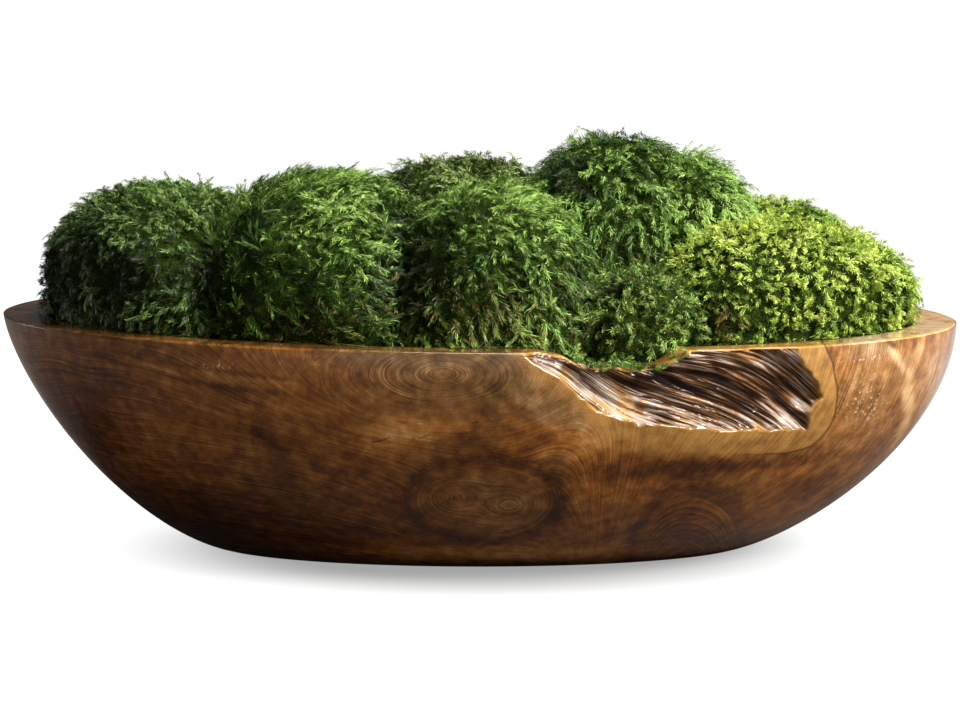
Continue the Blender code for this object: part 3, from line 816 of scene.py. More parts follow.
def side_of_wood(points, knots, tones):
    """Ring count, clearness of the rings, tone and warmth of the wood on one side of the bowl, painted light
    included.
    """
    x, z = points[..., 0], points[..., 2]
    sway = sum(share * lattice_noise(points, cell, seed) for cell, seed, share in SWAY_NOISES) - SWAY_MEAN
    rings = plain_rings(points, sway)
    figure, tone, warmth = np.full_like(x, PLAIN_FIGURE), np.zeros_like(x), np.zeros_like(x)
    outs = [turned_distance(x, z, (*knot[:4], 0.0)) + KNOT_SWAY * sway for knot in knots]
    for out, knot in zip(outs, knots):
        rings = rings + knot.bends * np.exp(-BEND_FADE * np.maximum(out, 0.0))
    for out, knot in zip(outs, knots):
        within = smooth_step((1.0 + 0.5 * knot.edge - out) / knot.edge)
        rings = rings + within * (knot_rings(x, z, sway, knot, out) - rings)
        figure = figure + (knot.clear - figure) * smooth_step((1.0 + knot.edge - out) / knot.edge)
        tone = tone + knot.border * np.exp(-(((out - BORDER_PLACE) / BORDER_WIDTH) ** 2))
    for place in tones:
        share = np.exp(-turned_distance(x + TONE_SWAY[0] * sway, z + TONE_SWAY[1] * sway, place) ** 3)
        tone, warmth = tone + place[5] * share, warmth + place[6] * share
    return np.stack((rings, figure, tone, warmth))


def wood_fields(points):
    """The wood's fields all over it, with the front's and the back's knots blended at the ends."""
    front = smooth_step((FRONT_BLEND[0] - points[..., 1]) / FRONT_BLEND[1])
    front_fields = side_of_wood(points, FRONT_KNOTS, FRONT_TONES_AND_PAINTED_LIGHT)
    back_fields = side_of_wood(points, BACK_KNOTS, BACK_TONES)
    return front * front_fields + (1.0 - front) * back_fields


def line_distance(x, z, line):
    """Distance to the nearest of the pieces that join the line's points, at most FAR."""
    nearest = np.full_like(x, FAR)
    for (start_x, start_z), (stop_x, stop_z) in zip(line[:-1], line[1:]):
        run_x, run_z = stop_x - start_x, stop_z - start_z
        part = ((x - start_x) * run_x + (z - start_z) * run_z) / (run_x * run_x + run_z * run_z)
        part = np.clip(part, 0.0, 1.0)
        nearest = np.minimum(nearest, np.hypot(x - start_x - part * run_x, z - start_z - part * run_z))
    return nearest


def rounded_line(points, rounds):
    """The line through the points, with its corners cut off a number of times."""
    line = np.array(points)
    for _ in range(rounds):
        first, second = 0.75 * line[:-1] + 0.25 * line[1:], 0.25 * line[:-1] + 0.75 * line[1:]
        line = np.concatenate((line[:1], np.stack((first, second), axis=1).reshape(-1, 2), line[-1:]))
    return line


def inside_outline(x, z, line):
    """Whether each place lies inside the closed line."""
    inside = np.zeros(x.shape, dtype=bool)
    for (start_x, start_z), (stop_x, stop_z) in zip(line, np.roll(line, -1, axis=0)):
        if start_z != stop_z:
            crossing = start_x + (z - start_z) * (stop_x - start_x) / (stop_z - start_z)
            inside ^= ((start_z > z) != (stop_z > z)) & (x < crossing)
    return inside


def wavered(points, waver):
    """The points' x and z, moved a little to and fro. The waver is its width, its size and its seed."""
    width, size, seed = waver
    moved = width * (lattice_noise(points, size, seed) - 0.5)
    return points[..., 0] + moved, points[..., 2] + moved


def sapwood_edge(points):
    """Millimetres outside the edge of the pale sapwood round the hollow, below 0 in it."""
    x, z = wavered(points, SAP_WAVER)
    line = rounded_line(SAP_OUTLINE, SAP_ROUNDS)
    inside = inside_outline(x, z, line) & (points[..., 1] < 0.0)
    return MILLIMETRES * np.where(inside, -1.0, 1.0) * line_distance(x, z, line)


def crack_distance(points):
    """Millimetres to the nearest crack."""
    x, z = wavered(points, CRACK_WAVER)
    nearest = np.full_like(x, FAR)
    for crack in CRACKS:
        nearest = np.minimum(nearest, line_distance(x, z, crack))
    return MILLIMETRES * np.where(points[..., 1] < 0.0, nearest, FAR)


# Bowl


def ring_faces(columns, rows):
    """A closed skin over columns of points: four-sided faces all round, and one face at each end."""
    index = np.arange(columns * rows).reshape(columns, rows)
    right = np.roll(index, -1, axis=0)
    quads = np.stack((index[:, :-1], right[:, :-1], right[:, 1:], index[:, 1:]), axis=-1).reshape(-1, 4)
    corners = np.concatenate((quads.ravel(), index[::-1, 0], index[:, -1]))
    starts = np.concatenate((np.arange(len(quads)) * 4, (len(quads) * 4, len(quads) * 4 + columns)))
    return corners, starts


def bowl_fields(points, mask, fibres):
    """What the wood's material reads at each point. The mask and the fibres are those of the outer rows."""
    outer_rows = mask.shape[1]
    rest = ((0, 0), (0, points.shape[1] - outer_rows))
    x, z, front = points[..., 0], points[..., 2], points[..., 1] < 0.0
    rings, figure, tone, warmth = wood_fields(points)
    tone[:, outer_rows:] += np.interp(x[:, outer_rows:], RIM_TONE_X, RIM_TONES)
    warmth[:, outer_rows:] += RIM_WARMTH
    return {
        "rings": rings, "figure": figure, "tone": tone, "warmth": warmth,
        "sap_edge": sapwood_edge(points), "sap_blur": np.interp(x, SAP_BLUR_X, SAP_BLUR),
        "crack": crack_distance(points), "scuffs": np.where(front, patch_sum(x, z, SCUFFS), 0.0),
        "worn": np.pad(mask, rest), "fibres": np.pad(fibres, rest, constant_values=STRAND_MIDDLE),
        "fibre_run": MILLIMETRES * fibre_run(x, rim_level(x) - z),
        "torn_tone_light_and_shade": np.where(front, patch_sum(x, z, TORN_TONES_LIGHT_AND_SHADE), 0.0),
    }


def make_bowl(material):
    """The bowl, with its finer hollow and the fields of its grain."""
    angle = bowl_angles()
    outside, mask, fibres, dip = outer_wall(angle)
    inside = rim_and_inside(angle, outside[:, -1], dip)
    points = np.concatenate((outside, inside), axis=1)
    corners, starts = ring_faces(*points.shape[:2])
    bowl = add_mesh("teak_bowl", points.reshape(-1, 3), corners, starts, material)
    for name, values in bowl_fields(points, mask, fibres).items():
        write_attribute(bowl.data, name, values)
    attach(bowl, "root")
    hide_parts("bowl")


# Moss


def node_surface(name):
    """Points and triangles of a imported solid, with the corners that lie on each other joined."""
    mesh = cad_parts[name].data
    points = np.empty(len(mesh.vertices) * 3)
    mesh.vertices.foreach_get("co", points)
    mesh.calc_loop_triangles()
    triangles = np.empty(len(mesh.loop_triangles) * 3, int)
    mesh.loop_triangles.foreach_get("vertices", triangles)
    joined, place = np.unique(np.round(points.reshape(-1, 3), 6), axis=0, return_inverse=True)
    return joined, place.ravel()[triangles].reshape(-1, 3)


def all_solids():
    """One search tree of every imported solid, and which faces in it each node has."""
    points, faces, ranges = [], [], {}
    for name in sorted(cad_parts):
        own_points, triangles = node_surface(name)
        ranges[name] = (len(faces), len(faces) + len(triangles))
        faces.extend((triangles + len(points)).tolist())
        points.extend(own_points.tolist())
    return BVHTree.FromPolygons(points, faces), ranges


def corner_sum(count, triangles, values):
    """Sum of the triangles' values at each of their corners."""
    total = np.zeros((count, values.shape[1]))
    for corner in range(3):
        np.add.at(total, triangles[:, corner], values)
    return total


def face_crosses(points, triangles):
    """Each triangle's normal, as long as twice its area."""
    a, b, c = (points[triangles[:, i]] for i in range(3))
    return np.cross(b - a, c - a)


def smooth_normals(points, triangles, rounds):
    """Normals at the points, evened out with their neighbours' a number of times."""
    normals = unit(corner_sum(len(points), triangles, face_crosses(points, triangles)))
    for _ in range(rounds):
        normals = unit(corner_sum(len(points), triangles, normals[triangles].sum(axis=1)))
    return normals


def tuft_relief(points, triangles, normals):
    """How far each point stands out from the even surface through its neighbours."""
    even = points
    for _ in range(RELIEF_ROUNDS):
        share = corner_sum(len(points), triangles, np.ones((len(triangles), 1)))
        even = corner_sum(len(points), triangles, even[triangles].mean(axis=1)) / share
    return ((points - even) * normals).sum(axis=1)


def spread_samples(area, count, rng):
    """Random places spread evenly over triangles of these areas: which one, and its corners' weights."""
    chosen = rng.choice(len(area), count, p=area / area.sum())
    u, v = np.sqrt(rng.random(count)), rng.random(count)
    return chosen, np.stack((1.0 - u, u * (1.0 - v), u * v), axis=1)


def spaced_choice(points, spacing):
    """Indices of points, taken in order, that keep their distance from all taken before."""
    free = np.ones(len(points), dtype=bool)
    chosen = []
    for i in range(len(points)):
        if free[i]:
            chosen.append(i)
            free &= ((points - points[i]) ** 2).sum(axis=1) > spacing * spacing
    return np.array(chosen)


def clear_reach(solids, own_faces, points, normals):
    """How far a shoot can grow from each point before it meets another solid."""
    reach = np.full(len(points), CLEAR_REACH)
    for i, (point, normal) in enumerate(zip(points, normals)):
        start = Vector(point + normal * RAY_START)
        _, _, face, distance = solids.ray_cast(start, Vector(normal), CLEAR_REACH)
        if face is not None and not own_faces[0] <= face < own_faces[1]:
            reach[i] = distance
    return reach


def over_the_rim(points):
    """The same points, lifted where they would sink into the bowl's rim."""
    x, y, z = points[..., 0], points[..., 1], points[..., 2]
    ratio = np.hypot(x / (RIM_HALF_LENGTH - RIM_THICKNESS), y / (RIM_HALF_DEPTH - RIM_THICKNESS))
    lowest = rim_top(x, y) + RIM_CLEARANCE
    lifted = points.copy()
    lifted[..., 2] = np.where((ratio > RIM_RATIO) & (z < lowest), lowest, z)
    return lifted


def shoots_of(name, solids, own_faces, rng):
    """Where a cushion's shoots stand: place, direction, free height and how far out of the relief."""
    points, triangles = node_surface(name)
    normals = smooth_normals(points, triangles, NORMAL_ROUNDS)
    relief = tuft_relief(points, triangles, normals)
    doubled = np.linalg.norm(face_crosses(points, triangles), axis=1)
    count = int(SAMPLES_PER_SHOOT * (0.5 * doubled).sum() / SHOOT_SPACING ** 2 * PACKING)
    chosen, weights = spread_samples(doubled, count, rng)
    corner = triangles[chosen]
    place = (points[corner] * weights[..., None]).sum(axis=1)
    normal = unit((normals[corner] * weights[..., None]).sum(axis=1))
    height = (relief[corner] * weights).sum(axis=1)
    kept = spaced_choice(place, HIDDEN_SPACING if name in HIDDEN else SHOOT_SPACING)
    place, normal, height = place[kept], normal[kept], height[kept]
    reach = clear_reach(solids, own_faces, place, normal)
    kept = (reach > BLOCKED_REACH) & (place[:, 2] >= rim_top(place[:, 0], place[:, 1]) - RIM_MARGIN)
    return place[kept], normal[kept], reach[kept], height[kept]


def shoots_over_rim(rng):
    """Shoots that creep over the worn rim above the hollow, given as shoots_of gives them."""
    x, across = rng.uniform(*RIM_MOSS_X, RIM_MOSS_SAMPLES), rng.uniform(*RIM_MOSS_ACROSS, RIM_MOSS_SAMPLES)
    half_length = RIM_HALF_LENGTH - RIM_THICKNESS * across
    half_depth = RIM_HALF_DEPTH - RIM_THICKNESS * across
    y = -half_depth * np.sqrt(1.0 - (x / half_length) ** 2)
    place = np.stack((x, y, rim_top(x, y) + RIM_CLEARANCE), axis=-1)
    place = place[spaced_choice(place, RIM_MOSS_SPACING)]
    normal = unit(np.tile(RIM_MOSS_LEAN, (len(place), 1)))
    return place, normal, np.full(len(place), RIM_MOSS_REACH), np.zeros(len(place))


def front_patches(place, patches):
    """Sum of the patches' last numbers at each place, fading out towards the back."""
    towards_front = smooth_step((FRONT_FADE[0] - place[:, 1]) / FRONT_FADE[1])
    return patch_sum(place[:, 0], place[:, 2], patches) * towards_front


def droop_directions(normal, sweep, rng):
    """Which way each shoot curls over: down the cushion's side, and with its cushion's sweep."""
    pull = np.array(sweep) + DROOP_WILDNESS * rng.normal(size=normal.shape)
    level = unit(pull - normal * (pull * normal).sum(axis=1, keepdims=True))
    return unit(level - HOOK * normal)


def shoot_shapes(cushion, place, normal, reach, height, rng):
    """Each shoot's axis, which way it curls, how tall it is, how far it curls over, and its tint, painted
    light and shade.
    """
    count = len(place)
    axis = unit(normal + AXIS_WILDNESS * rng.normal(size=(count, 3)))
    droop = droop_directions(normal, cushion.sweep, rng)
    crease = 1.0 - np.minimum(reach / CLEAR_REACH, 1.0)
    relief = np.clip(height / RELIEF_SCALE, *RELIEF_LIMITS)
    clump = np.clip(CLUMP_GAIN * (lattice_noise(place, CLUMP_SIZE, CLUMP_SEED) - 0.5), -1.0, 1.0)
    tall = SHOOT_HEIGHT * cushion.size * (1.0 + CREASE_HEIGHT * crease) * (1.0 + RELIEF_HEIGHT * relief)
    tall = tall * (1.0 + CLUMP_HEIGHT * clump) * rng.uniform(*HEIGHT_RANGE, count)
    over = tall * cushion.bend * rng.uniform(*BEND_RANGE, count)
    # Painted light on high clumps, relief and creases, painted shade on low ones
    shade = cushion.tint + RELIEF_LIGHT_AND_SHADE * relief + CLUMP_LIGHT_AND_SHADE * clump + CREASE_PAINTED_LIGHT * crease
    # Painted light and painted shade on the front of the moss
    shade = shade + front_patches(place, MOSS_LIGHT_AND_SHADE_PATCHES)
    shade = shade + TINT_DRIFT * (lattice_noise(place, DRIFT_SIZE, DRIFT_SEED) - 0.5)
    return axis, droop, tall, over, shade + rng.normal(0.0, SHOOT_TINT_WILDNESS, count)


def leaves_along(wide, axis, droop, tall, over, rng):
    """For each leaf of each shoot: how far up it is, its place from the shoot's root, direction and curl."""
    shoots, each = len(axis), LEAVES_PER_SHOOT
    up = np.tile((np.arange(each) + FIRST_LEAF) / each, (shoots, 1)) ** LEAF_CROWDING
    path = axis[:, None] * up[..., None] * tall[:, None, None]
    path = path + droop[:, None] * (up ** 2)[..., None] * over[:, None, None]
    along = unit(axis[:, None] * tall[:, None, None] + 2.0 * droop[:, None] * (up * over[:, None])[..., None])
    azimuth = GOLDEN_ANGLE * np.arange(each)[None, :] + rng.uniform(0.0, 2.0 * math.pi, (shoots, 1))
    side = unit(np.cross(along, rng.normal(size=(shoots, 1, 3))))
    other = np.cross(along, side)
    ring = side * np.cos(azimuth)[..., None] + other * np.sin(azimuth)[..., None]
    spread = wide * np.interp(up, *LEAF_SPREAD) + rng.normal(0.0, SPREAD_WILDNESS, up.shape)
    direction = along * np.cos(spread)[..., None] + ring * np.sin(spread)[..., None]
    curl = CURL_DROOP * droop[:, None] - CURL_INWARD * ring
    curl = curl + CURL_WILDNESS * rng.normal(size=direction.shape)
    return up, path, direction, curl


def leaf_tints(shade, up, dry, rng):
    """Each leaf's tint, from its shoot's, painted lighter up the shoot and darker low on it. A share are dry.
    """
    tints = shade[:, None] + rng.normal(0.0, LEAF_TINT_WILDNESS, up.shape) + SHOOT_TOP_LIGHT_AND_SHADE * (up - TINT_MIDDLE)
    tints = np.clip(tints, 0.0, GREEN_LIMIT)
    return np.where(rng.random(up.shape) < dry, rng.uniform(*DRY_TINTS, up.shape), tints)


def leaf_points(roots, directions, bends, lengths, widths, rolls, outward):
    """Points of narrow, bent leaves, four to each: its root, the two sides of its middle and its tip."""
    reach = lengths[:, None]
    middle = roots + reach * (0.5 * directions + 0.25 * bends)
    tip = roots + reach * (directions + bends)
    along = unit(directions + bends)
    flat = unit(np.cross(along, outward))
    edge = np.cross(along, flat)
    side = flat * np.cos(rolls)[:, None] + edge * np.sin(rolls)[:, None]
    side = side * (0.5 * widths[:, None])
    return np.stack((roots, middle - side, middle + side, tip), axis=1)


def leaf_faces(count, first):
    """Corners of the two triangles of each leaf, whose points follow on from the first."""
    return (first + 4 * np.arange(count)[:, None] + np.array((0, 2, 1, 1, 2, 3))).ravel()


def leaf_map(tints):
    """Map of the leaves: their tint across, in narrow columns, and from root to tip upward."""
    column = np.floor(np.clip(tints, 0.0, 0.999) * TINT_COLUMNS)
    spots = [
        np.stack(((column + across) / TINT_COLUMNS, np.full_like(column, up)), axis=-1)
        for across, up in LEAF_CORNERS]
    return np.stack(spots, axis=1).reshape(-1, 2)


def cushion_leaves(cushion, place, normal, reach, height, rng):
    """Points and map of all the leaves on a cushion, set along shoots that curl over."""
    axis, droop, tall, over, shade = shoot_shapes(cushion, place, normal, reach, height, rng)
    up, path, direction, curl = leaves_along(cushion.wide, axis, droop, tall, over, rng)
    root = place[:, None] - axis[:, None] * ROOT_DEPTH + path
    length = LEAF_LENGTH * cushion.size * (LEAF_TAPER[0] - LEAF_TAPER[1] * up)
    length = length * rng.uniform(*LENGTH_RANGE, up.shape)
    width = LEAF_WIDTH * rng.uniform(*WIDTH_RANGE, up.shape)
    dry = cushion.dry + front_patches(place, DRY_PATCHES)[:, None]
    tints = leaf_tints(shade, up, dry, rng)
    rolls = rng.normal(0.0, ROLL_WILDNESS, up.shape)
    outward = unit(np.repeat(normal - OUTWARD_LEAN * droop, LEAVES_PER_SHOOT, axis=0))
    lines = [values.reshape(-1, 3) for values in (root, direction, curl)]
    points = leaf_points(*lines, length.ravel(), width.ravel(), rolls.ravel(), outward)
    return over_the_rim(points), leaf_map(tints.ravel())


def dress(piece, core_faces, leaf_spots, peat):
    """Gives the core, whose faces come first, its dark material, and the whole piece its map."""
    mesh = piece.data
    mesh.materials.append(peat)
    which_material = np.zeros(len(mesh.polygons), np.int32)
    which_material[:core_faces] = 1
    mesh.polygons.foreach_set("material_index", which_material)
    core_spots = np.tile(np.array(CORE_SPOT), (core_faces, 1))
    layer = mesh.uv_layers.new(name=LEAF_MAP)
    layer.uv.foreach_set("vector", np.concatenate((core_spots, leaf_spots)).astype(np.float32).ravel())


def make_cushion(cushion, seed, solids, ranges, materials, peat):
    """A cushion of moss: its solid, drawn in a little, as a core, and leaves in shoots all over it."""
    name, slot = cushion.node, cushion.slot
    rng = np.random.default_rng(seed)
    points, triangles = node_surface(name)
    core = points - smooth_normals(points, triangles, 0) * CORE_INSET
    shoots = shoots_of(name, solids, ranges[name], rng)
    if name == RIM_MOSS_NODE:
        shoots = [np.concatenate(pair) for pair in zip(shoots, shoots_over_rim(rng))]
    leaves, leaf_spots = cushion_leaves(cushion, *shoots, rng)
    all_points = np.concatenate((core, leaves.reshape(-1, 3)))
    corners = np.concatenate((triangles.ravel(), leaf_faces(len(leaves), len(core))))
    piece = add_mesh(name + "_leaves", all_points, corners, np.arange(0, len(corners), 3), materials[slot])
    dress(piece, len(triangles), leaf_spots, peat)
    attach(piece, "root")
    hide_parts(name)


# Node helpers


def feed(tree, node, inputs):
    """Gives a node its inputs, by their name or number: each is a value or another node's output."""
    for key, value in inputs.items():
        if isinstance(value, bpy.types.NodeSocket):
            tree.links.new(value, node.inputs[key])
        else:
            node.inputs[key].default_value = value


def put(tree, kind, inputs=None, **settings):
    """Adds a node of a kind, with its settings and inputs, in the next free place."""
    made = tree.nodes.new("ShaderNode" + kind)
    for key, value in settings.items():
        setattr(made, key, value)
    feed(tree, made, inputs or {})
    column, row = divmod(len(tree.nodes), NODES_IN_COLUMN)
    made.location = (NODE_WIDTH * column, -NODE_HEIGHT * row)
    return made


def maths(tree, operation, a, b=0.0):
    """What a Math node makes of a and b, each a value or another node's output."""
    return put(tree, "Math", {0: a, 1: b}, operation=operation).outputs[0]


def times(tree, a, b):
    return maths(tree, "MULTIPLY", a, b)


def plus(tree, a, b):
    return maths(tree, "ADD", a, b)


def mix_colours(tree, factor, a, b):
    """Colour a at factor 0, and b at 1. Each is a plain colour or another node's output."""
    a, b = ((*colour, 1.0) if isinstance(colour, tuple) else colour for colour in (a, b))
    return put(tree, "Mix", {0: factor, 6: a, 7: b}, data_type="RGBA").outputs[2]


def remap(tree, value, low, high, new_low=0.0, new_high=1.0):
    """Value from one range to another, eased at both ends."""
    inputs = {"Value": value, "From Min": low, "From Max": high, "To Min": new_low, "To Max": new_high}
    return put(tree, "MapRange", inputs, interpolation_type="SMOOTHSTEP").outputs[0]


def ramp(tree, factor, stops):
    """Colour ramp through (position, colour) stops."""
    made = put(tree, "ValToRGB", {"Fac": factor})
    elements = made.color_ramp.elements
    while len(elements) < len(stops):
        elements.new(0.5)
    for element, (position, colour) in zip(elements, stops):
        element.position = position
        element.color = (*colour, 1.0)
    return made.outputs["Color"]


def attribute(tree, name):
    """One of the values kept at the mesh's vertices."""
    return put(tree, "Attribute", attribute_name=name).outputs["Fac"]


def object_places(tree):
    """Places on the object, in metres."""
    return put(tree, "TexCoord").outputs["Object"]


def streaks(tree, places, run, scale, density, detail):
    """Noise that changes fast across the grain and slowly along it."""
    inputs = {"Vector": places, "W": times(tree, run, density), "Scale": scale,
              "Detail": detail, "Roughness": 0.62}
    return put(tree, "TexNoise", inputs, noise_dimensions="4D").outputs["Fac"]


def cloud(tree, places, scale, detail, distortion=0.0):
    """Noise that changes the same in every direction."""
    inputs = {"Vector": places, "Scale": scale, "Detail": detail, "Roughness": 0.6, "Distortion": distortion}
    return put(tree, "TexNoise", inputs).outputs["Fac"]


def swing(tree, noise, share):
    """Noise as a change to either side of 0, its share given by a value or another node's output."""
    return times(tree, maths(tree, "SUBTRACT", noise, 0.5), share)


def new_material(name):
    """An empty material with its output and Principled shader joined."""
    material = bpy.data.materials.new(name)
    material.use_nodes = True
    tree = material.node_tree
    tree.nodes.clear()
    shader = put(tree, "BsdfPrincipled")
    put(tree, "OutputMaterial", {"Surface": shader.outputs[0]})
    return material, tree, shader


def new_group(name, inputs, kind, output):
    """An empty node group whose sockets are all of one kind: the group, its given values and its result."""
    group = bpy.data.node_groups.new(name, "ShaderNodeTree")
    for title in inputs:
        group.interface.new_socket(title, in_out="INPUT", socket_type=kind)
    group.interface.new_socket(output, in_out="OUTPUT", socket_type=kind)
    return group, group.nodes.new("NodeGroupInput"), group.nodes.new("NodeGroupOutput")


def place_group(tree, group, inputs):
    """Places a node group in a material, with the material's own values."""
    placed = tree.nodes.new("ShaderNodeGroup")
    placed.node_tree = group
    feed(tree, placed, inputs)
    return placed.outputs[0]


def add_relief(tree, shader, height, strength, distance):
    """Fine relief in the shader's normal, from a height."""
    bump = put(tree, "Bump", {"Strength": strength, "Distance": distance, "Height": height})
    tree.links.new(bump.outputs[0], shader.inputs["Normal"])


# Materials


def heartwood_shade(tree, places, lines, hairs):
    """How pale the heartwood is: its tone, with clouds, growth rings and fine fibres."""
    figure = attribute(tree, "figure")
    drawn = streaks(tree, places, attribute(tree, "rings"), *DRAWN_STREAKS)
    clouds, mottle = cloud(tree, places, *WOOD_CLOUDS), cloud(tree, places, *WOOD_MOTTLE)
    shade = plus(tree, times(tree, attribute(tree, "tone"), TONE_GAIN), MIDDLE_SHADE)
    for noise, share in zip((clouds, drawn, mottle, hairs), SHADE_SHARES):
        shade = plus(tree, shade, swing(tree, noise, share))
    shade = plus(tree, shade, swing(tree, lines, times(tree, figure, RING_SHARE)))
    pale_ring = times(tree, remap(tree, lines, *PALE_RING_RANGE), times(tree, figure, PALE_RING_SHARE))
    return plus(tree, shade, pale_ring)


def heartwood_colour(tree, places, shade):
    """Brown heartwood, warm or olive."""
    warmth = plus(tree, attribute(tree, "warmth"), swing(tree, cloud(tree, places, *WARM_CLOUDS), WARM_SHARE))
    warm, olive = ramp(tree, shade, WARM_STOPS), ramp(tree, shade, OLIVE_STOPS)
    return mix_colours(tree, remap(tree, warmth, *WARM_RANGE), olive, warm)


def sapwood_over(tree, colour, shade):
    """Pale sapwood over the heartwood, with the cracks and the thin dark line round the sapwood."""
    edge, blur = attribute(tree, "sap_edge"), attribute(tree, "sap_blur")
    in_sap = remap(tree, maths(tree, "DIVIDE", edge, blur), 1.0, -1.0)
    sapwood = mix_colours(tree, remap(tree, shade, *SAPWOOD_RANGE), *SAPWOOD_COLOURS)
    colour = mix_colours(tree, in_sap, colour, sapwood)
    near_edge = remap(tree, maths(tree, "ABSOLUTE", edge), *SAP_LINE_RANGE)
    outline = times(tree, near_edge, remap(tree, blur, *SAP_SHARP_RANGE))
    crack = remap(tree, attribute(tree, "crack"), *CRACK_RANGE)
    dark = maths(tree, "MAXIMUM", times(tree, outline, SAP_LINE_SHARE), times(tree, crack, CRACK_SHARE))
    return mix_colours(tree, dark, colour, CRACK_COLOUR)


def scuffs_over(tree, places, colour):
    """Small pale specks where the lacquer is scuffed."""
    specks = remap(tree, cloud(tree, places, *SPECKS), *SPECK_RANGE)
    specks = times(tree, specks, attribute(tree, "scuffs"))
    return mix_colours(tree, times(tree, specks, SPECK_SHARE), colour, SPECK_COLOUR)


def torn_height(tree, places):
    """Height of the torn fibres: fine threads on the strands that the mesh has."""
    threads = streaks(tree, places, attribute(tree, "fibre_run"), *TORN_STREAKS)
    strands = times(tree, attribute(tree, "fibres"), STRAND_SHARE)
    return plus(tree, plus(tree, swing(tree, threads, THREAD_SHARE), strands), TORN_MIDDLE)


def torn_colour(tree, places, height):
    """Torn fibres' colour: near black in clefts, partly painted shade, straw on strands, here and there
    painted glints.
    """
    lit = plus(tree, height, attribute(tree, "torn_tone_light_and_shade"))
    # Painted glints: pale reflections painted here and there on the higher, lit strands
    painted_glint = remap(tree, cloud(tree, places, *GLINT_CLOUDS), *GLINT_CLOUD_RANGE)
    painted_glint = times(tree, remap(tree, lit, *GLINT_LIT_RANGE), painted_glint)
    return mix_colours(tree, times(tree, painted_glint, GLINT_SHARE), ramp(tree, lit, TORN_STOPS), PAINTED_GLINT_COLOUR)


def teak_material():
    """Lacquered teak: rings and streaks along the grain, pale sapwood, and torn fibres in the hollow."""
    material, tree, shader = new_material("oiled_teak_grain")
    places = object_places(tree)
    rings, worn = attribute(tree, "rings"), attribute(tree, "worn")
    lines = streaks(tree, places, rings, *RING_STREAKS)
    hairs = streaks(tree, places, rings, *HAIR_STREAKS)
    shade = heartwood_shade(tree, places, lines, hairs)
    colour = sapwood_over(tree, heartwood_colour(tree, places, shade), shade)
    colour = scuffs_over(tree, places, colour)
    torn = torn_height(tree, places)
    smooth = times(tree, plus(tree, lines, hairs), GRAIN_HEIGHT)
    height = put(tree, "Mix", {0: worn, 2: smooth, 3: torn}, data_type="FLOAT").outputs[0]
    add_relief(tree, shader, height, *TEAK_RELIEF)
    feed(tree, shader, {
        "Base Color": mix_colours(tree, worn, colour, torn_colour(tree, places, torn)),
        "Roughness": remap(tree, lines, *TEAK_ROUGHNESS),
        "Specular IOR Level": 0.06,
        "Coat Weight": remap(tree, worn, *TEAK_COAT),
        "Coat Roughness": 0.10,
    })
    return material


def leaf_group():
    """Node group for a leaf's colour: its tint and the way up it, from the map, pick among four colours."""
    group, given, result = new_group("leaf_colour", LEAF_INPUTS, "NodeSocketColor", "Color")
    shade, green, sunlit, dry = (given.outputs[name] for name in LEAF_INPUTS)
    spot = put(group, "SeparateXYZ", {0: put(group, "UVMap", uv_map=LEAF_MAP).outputs["UV"]})
    tint, way_up = spot.outputs["X"], spot.outputs["Y"]
    leaf = mix_colours(group, remap(group, tint, *GREEN_TINTS), shade, green)
    leaf = mix_colours(group, remap(group, tint, *SUNLIT_TINTS), leaf, sunlit)
    leaf = mix_colours(group, maths(group, "GREATER_THAN", tint, DRY_FROM), leaf, dry)
    # Painted shade at the leaf's root and painted sunlight at its tip
    root_shaded = mix_colours(group, remap(group, way_up, *ROOT_PAINTED_SHADE), shade, leaf)
    tip = mix_colours(group, times(group, tint, TIP_SUN), leaf, sunlit)
    tip_lit = mix_colours(group, remap(group, way_up, *TIP_PAINTED_LIGHT), root_shaded, tip)
    group.links.new(tip_lit, result.inputs["Color"])
    return group


def moss_materials():
    """A material for each moss, all with the leaves' node group."""
    group = leaf_group()
    made = {}
    for slot, colours in MOSS_COLOURS.items():
        material, tree, shader = new_material(slot + "_leaf")
        opaque = ((*colour, 1.0) for colour in (*colours, DRY_COLOUR))
        colour = place_group(tree, group, dict(zip(LEAF_INPUTS, opaque)))
        feed(tree, shader, {"Base Color": colour, "Roughness": 0.42, "Specular IOR Level": 0.22})
        made[slot] = material
    return made


def crumb_group():
    """Node group for fine crumbs, as a mask from 0 to 1."""
    group, given, result = new_group("crumbs", CRUMB_INPUTS, "NodeSocketFloat", "Crumbs")
    inputs = {name: given.outputs[name] for name in CRUMB_INPUTS}
    noise = put(group, "TexNoise", {"Vector": object_places(group), **inputs})
    group.links.new(noise.outputs["Fac"], result.inputs["Crumbs"])
    return group


def crumb_material(name, group, look):
    """A dull, crumbly material: its colour and its relief both follow the crumbs."""
    material, tree, shader = new_material(name)
    crumbs = place_group(tree, group, dict(zip(CRUMB_INPUTS, look.noise)))
    add_relief(tree, shader, crumbs, *look.relief)
    feed(tree, shader, {
        "Base Color": ramp(tree, crumbs, look.stops),
        "Roughness": look.roughness,
        "Specular IOR Level": look.specular,
    })
    return material


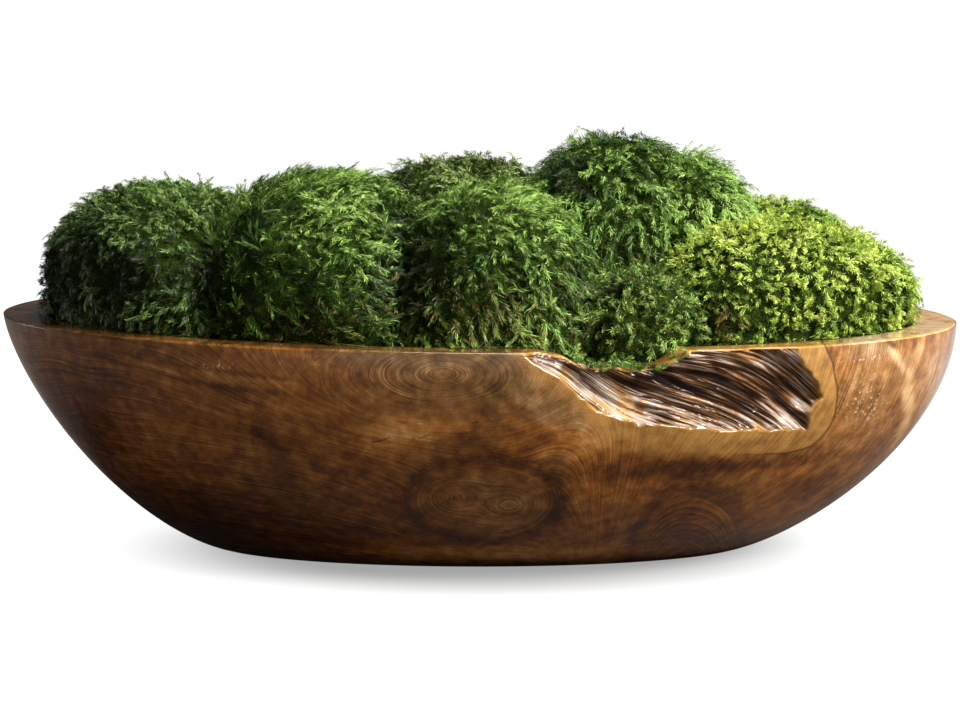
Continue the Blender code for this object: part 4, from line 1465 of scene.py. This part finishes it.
def floor_material():
    """White floor to the camera, painted shadow near the bowl. To all else dark, with a painted reflected
    glow.
    """
    material, tree, shader = new_material("pale_floor")
    rays = put(tree, "LightPath")
    seen, mirrored = rays.outputs["Is Camera Ray"], rays.outputs["Is Glossy Ray"]
    places = object_places(tree)
    sizes = (1.0 / SHADOW_HALF_LENGTH, 1.0 / SHADOW_HALF_DEPTH, 0.0)
    squeezed = put(tree, "VectorMath", {0: places, 1: sizes}, operation="MULTIPLY").outputs[0]
    away = put(tree, "VectorMath", {0: squeezed}, operation="LENGTH").outputs["Value"]
    to_right = put(tree, "SeparateXYZ", {0: places}).outputs["X"]
    # Painted shadow: the white falls off towards the bowl
    white = times(tree, remap(tree, away, *FLOOR_WHITE_AND_PAINTED_SHADOW), seen)
    # Painted reflection: a glow that only reflections see, mirrored in the lacquer
    reflected_glow = times(tree, remap(tree, away, *FLOOR_REFLECTED_GLOW), remap(tree, to_right, *REFLECTED_GLOW_SIDE))
    feed(tree, shader, {
        "Base Color": mix_colours(tree, seen, *FLOOR_COLOURS),
        "Roughness": 1.0,
        "Specular IOR Level": 0.0,
        "Emission Color": (1.0, 1.0, 1.0, 1.0),
        "Emission Strength": plus(tree, white, times(tree, reflected_glow, mirrored)),
    })
    material.cycles.emission_sampling = "NONE"
    return material


# Stage


def make_floor():
    """A wide level floor under the bowl."""
    half = FLOOR_SIZE / 2.0
    points = ((-half, -half, 0.0), (half, -half, 0.0), (half, half, 0.0), (-half, half, 0.0))
    floor = add_mesh("floor", points, (0, 1, 2, 3), (0,), floor_material())


def make_lights():
    """The area lights, each turned to the target."""
    for name, light in LIGHTS.items():
        data = bpy.data.lights.new(name, "AREA")
        data.shape = "RECTANGLE"
        data.size, data.size_y = light.width, light.height
        data.energy = light.power
        data.color = light.colour
        lamp = bpy.data.objects.new(name, data)
        lamp.location = light.place
        lamp.rotation_euler = (Vector(TARGET) - lamp.location).to_track_quat("-Z", "Y").to_euler()
        bpy.context.scene.collection.objects.link(lamp)


def make_world():
    """A faint even light from all sides."""
    world = bpy.data.worlds.new("studio")
    bpy.context.scene.world = world
    world.use_nodes = True
    background = world.node_tree.nodes["Background"]
    feed(world.node_tree, background, {"Color": (1.0, 1.0, 1.0, 1.0), "Strength": WORLD_STRENGTH})


def make_camera():
    """The camera at the photograph's angle."""
    data = bpy.data.cameras.new("camera")
    data.lens = CAMERA_LENS
    data.sensor_width = SENSOR_WIDTH
    camera = bpy.data.objects.new("camera", data)
    camera.location = CAMERA_PLACE
    camera.rotation_euler = (math.pi / 2.0 - CAMERA_PITCH, 0.0, 0.0)
    bpy.context.scene.collection.objects.link(camera)
    bpy.context.scene.camera = camera


def main():
    """Sets the stage, then dresses every solid of the frame."""
    bpy.context.scene.view_settings.view_transform = "Standard"
    make_camera()
    make_lights()
    make_world()
    make_floor()
    make_bowl(teak_material())
    crumbs = crumb_group()
    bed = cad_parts["foam_bed"]
    bed.data.materials[0] = crumb_material("dry_foam_crumb", crumbs, FOAM)
    peat = crumb_material("dead_moss", crumbs, PEAT)
    materials = moss_materials()
    solids, ranges = all_solids()
    for seed, cushion in enumerate(CUSHIONS, start=1):
        make_cushion(cushion, seed, solids, ranges, materials, peat)


main()
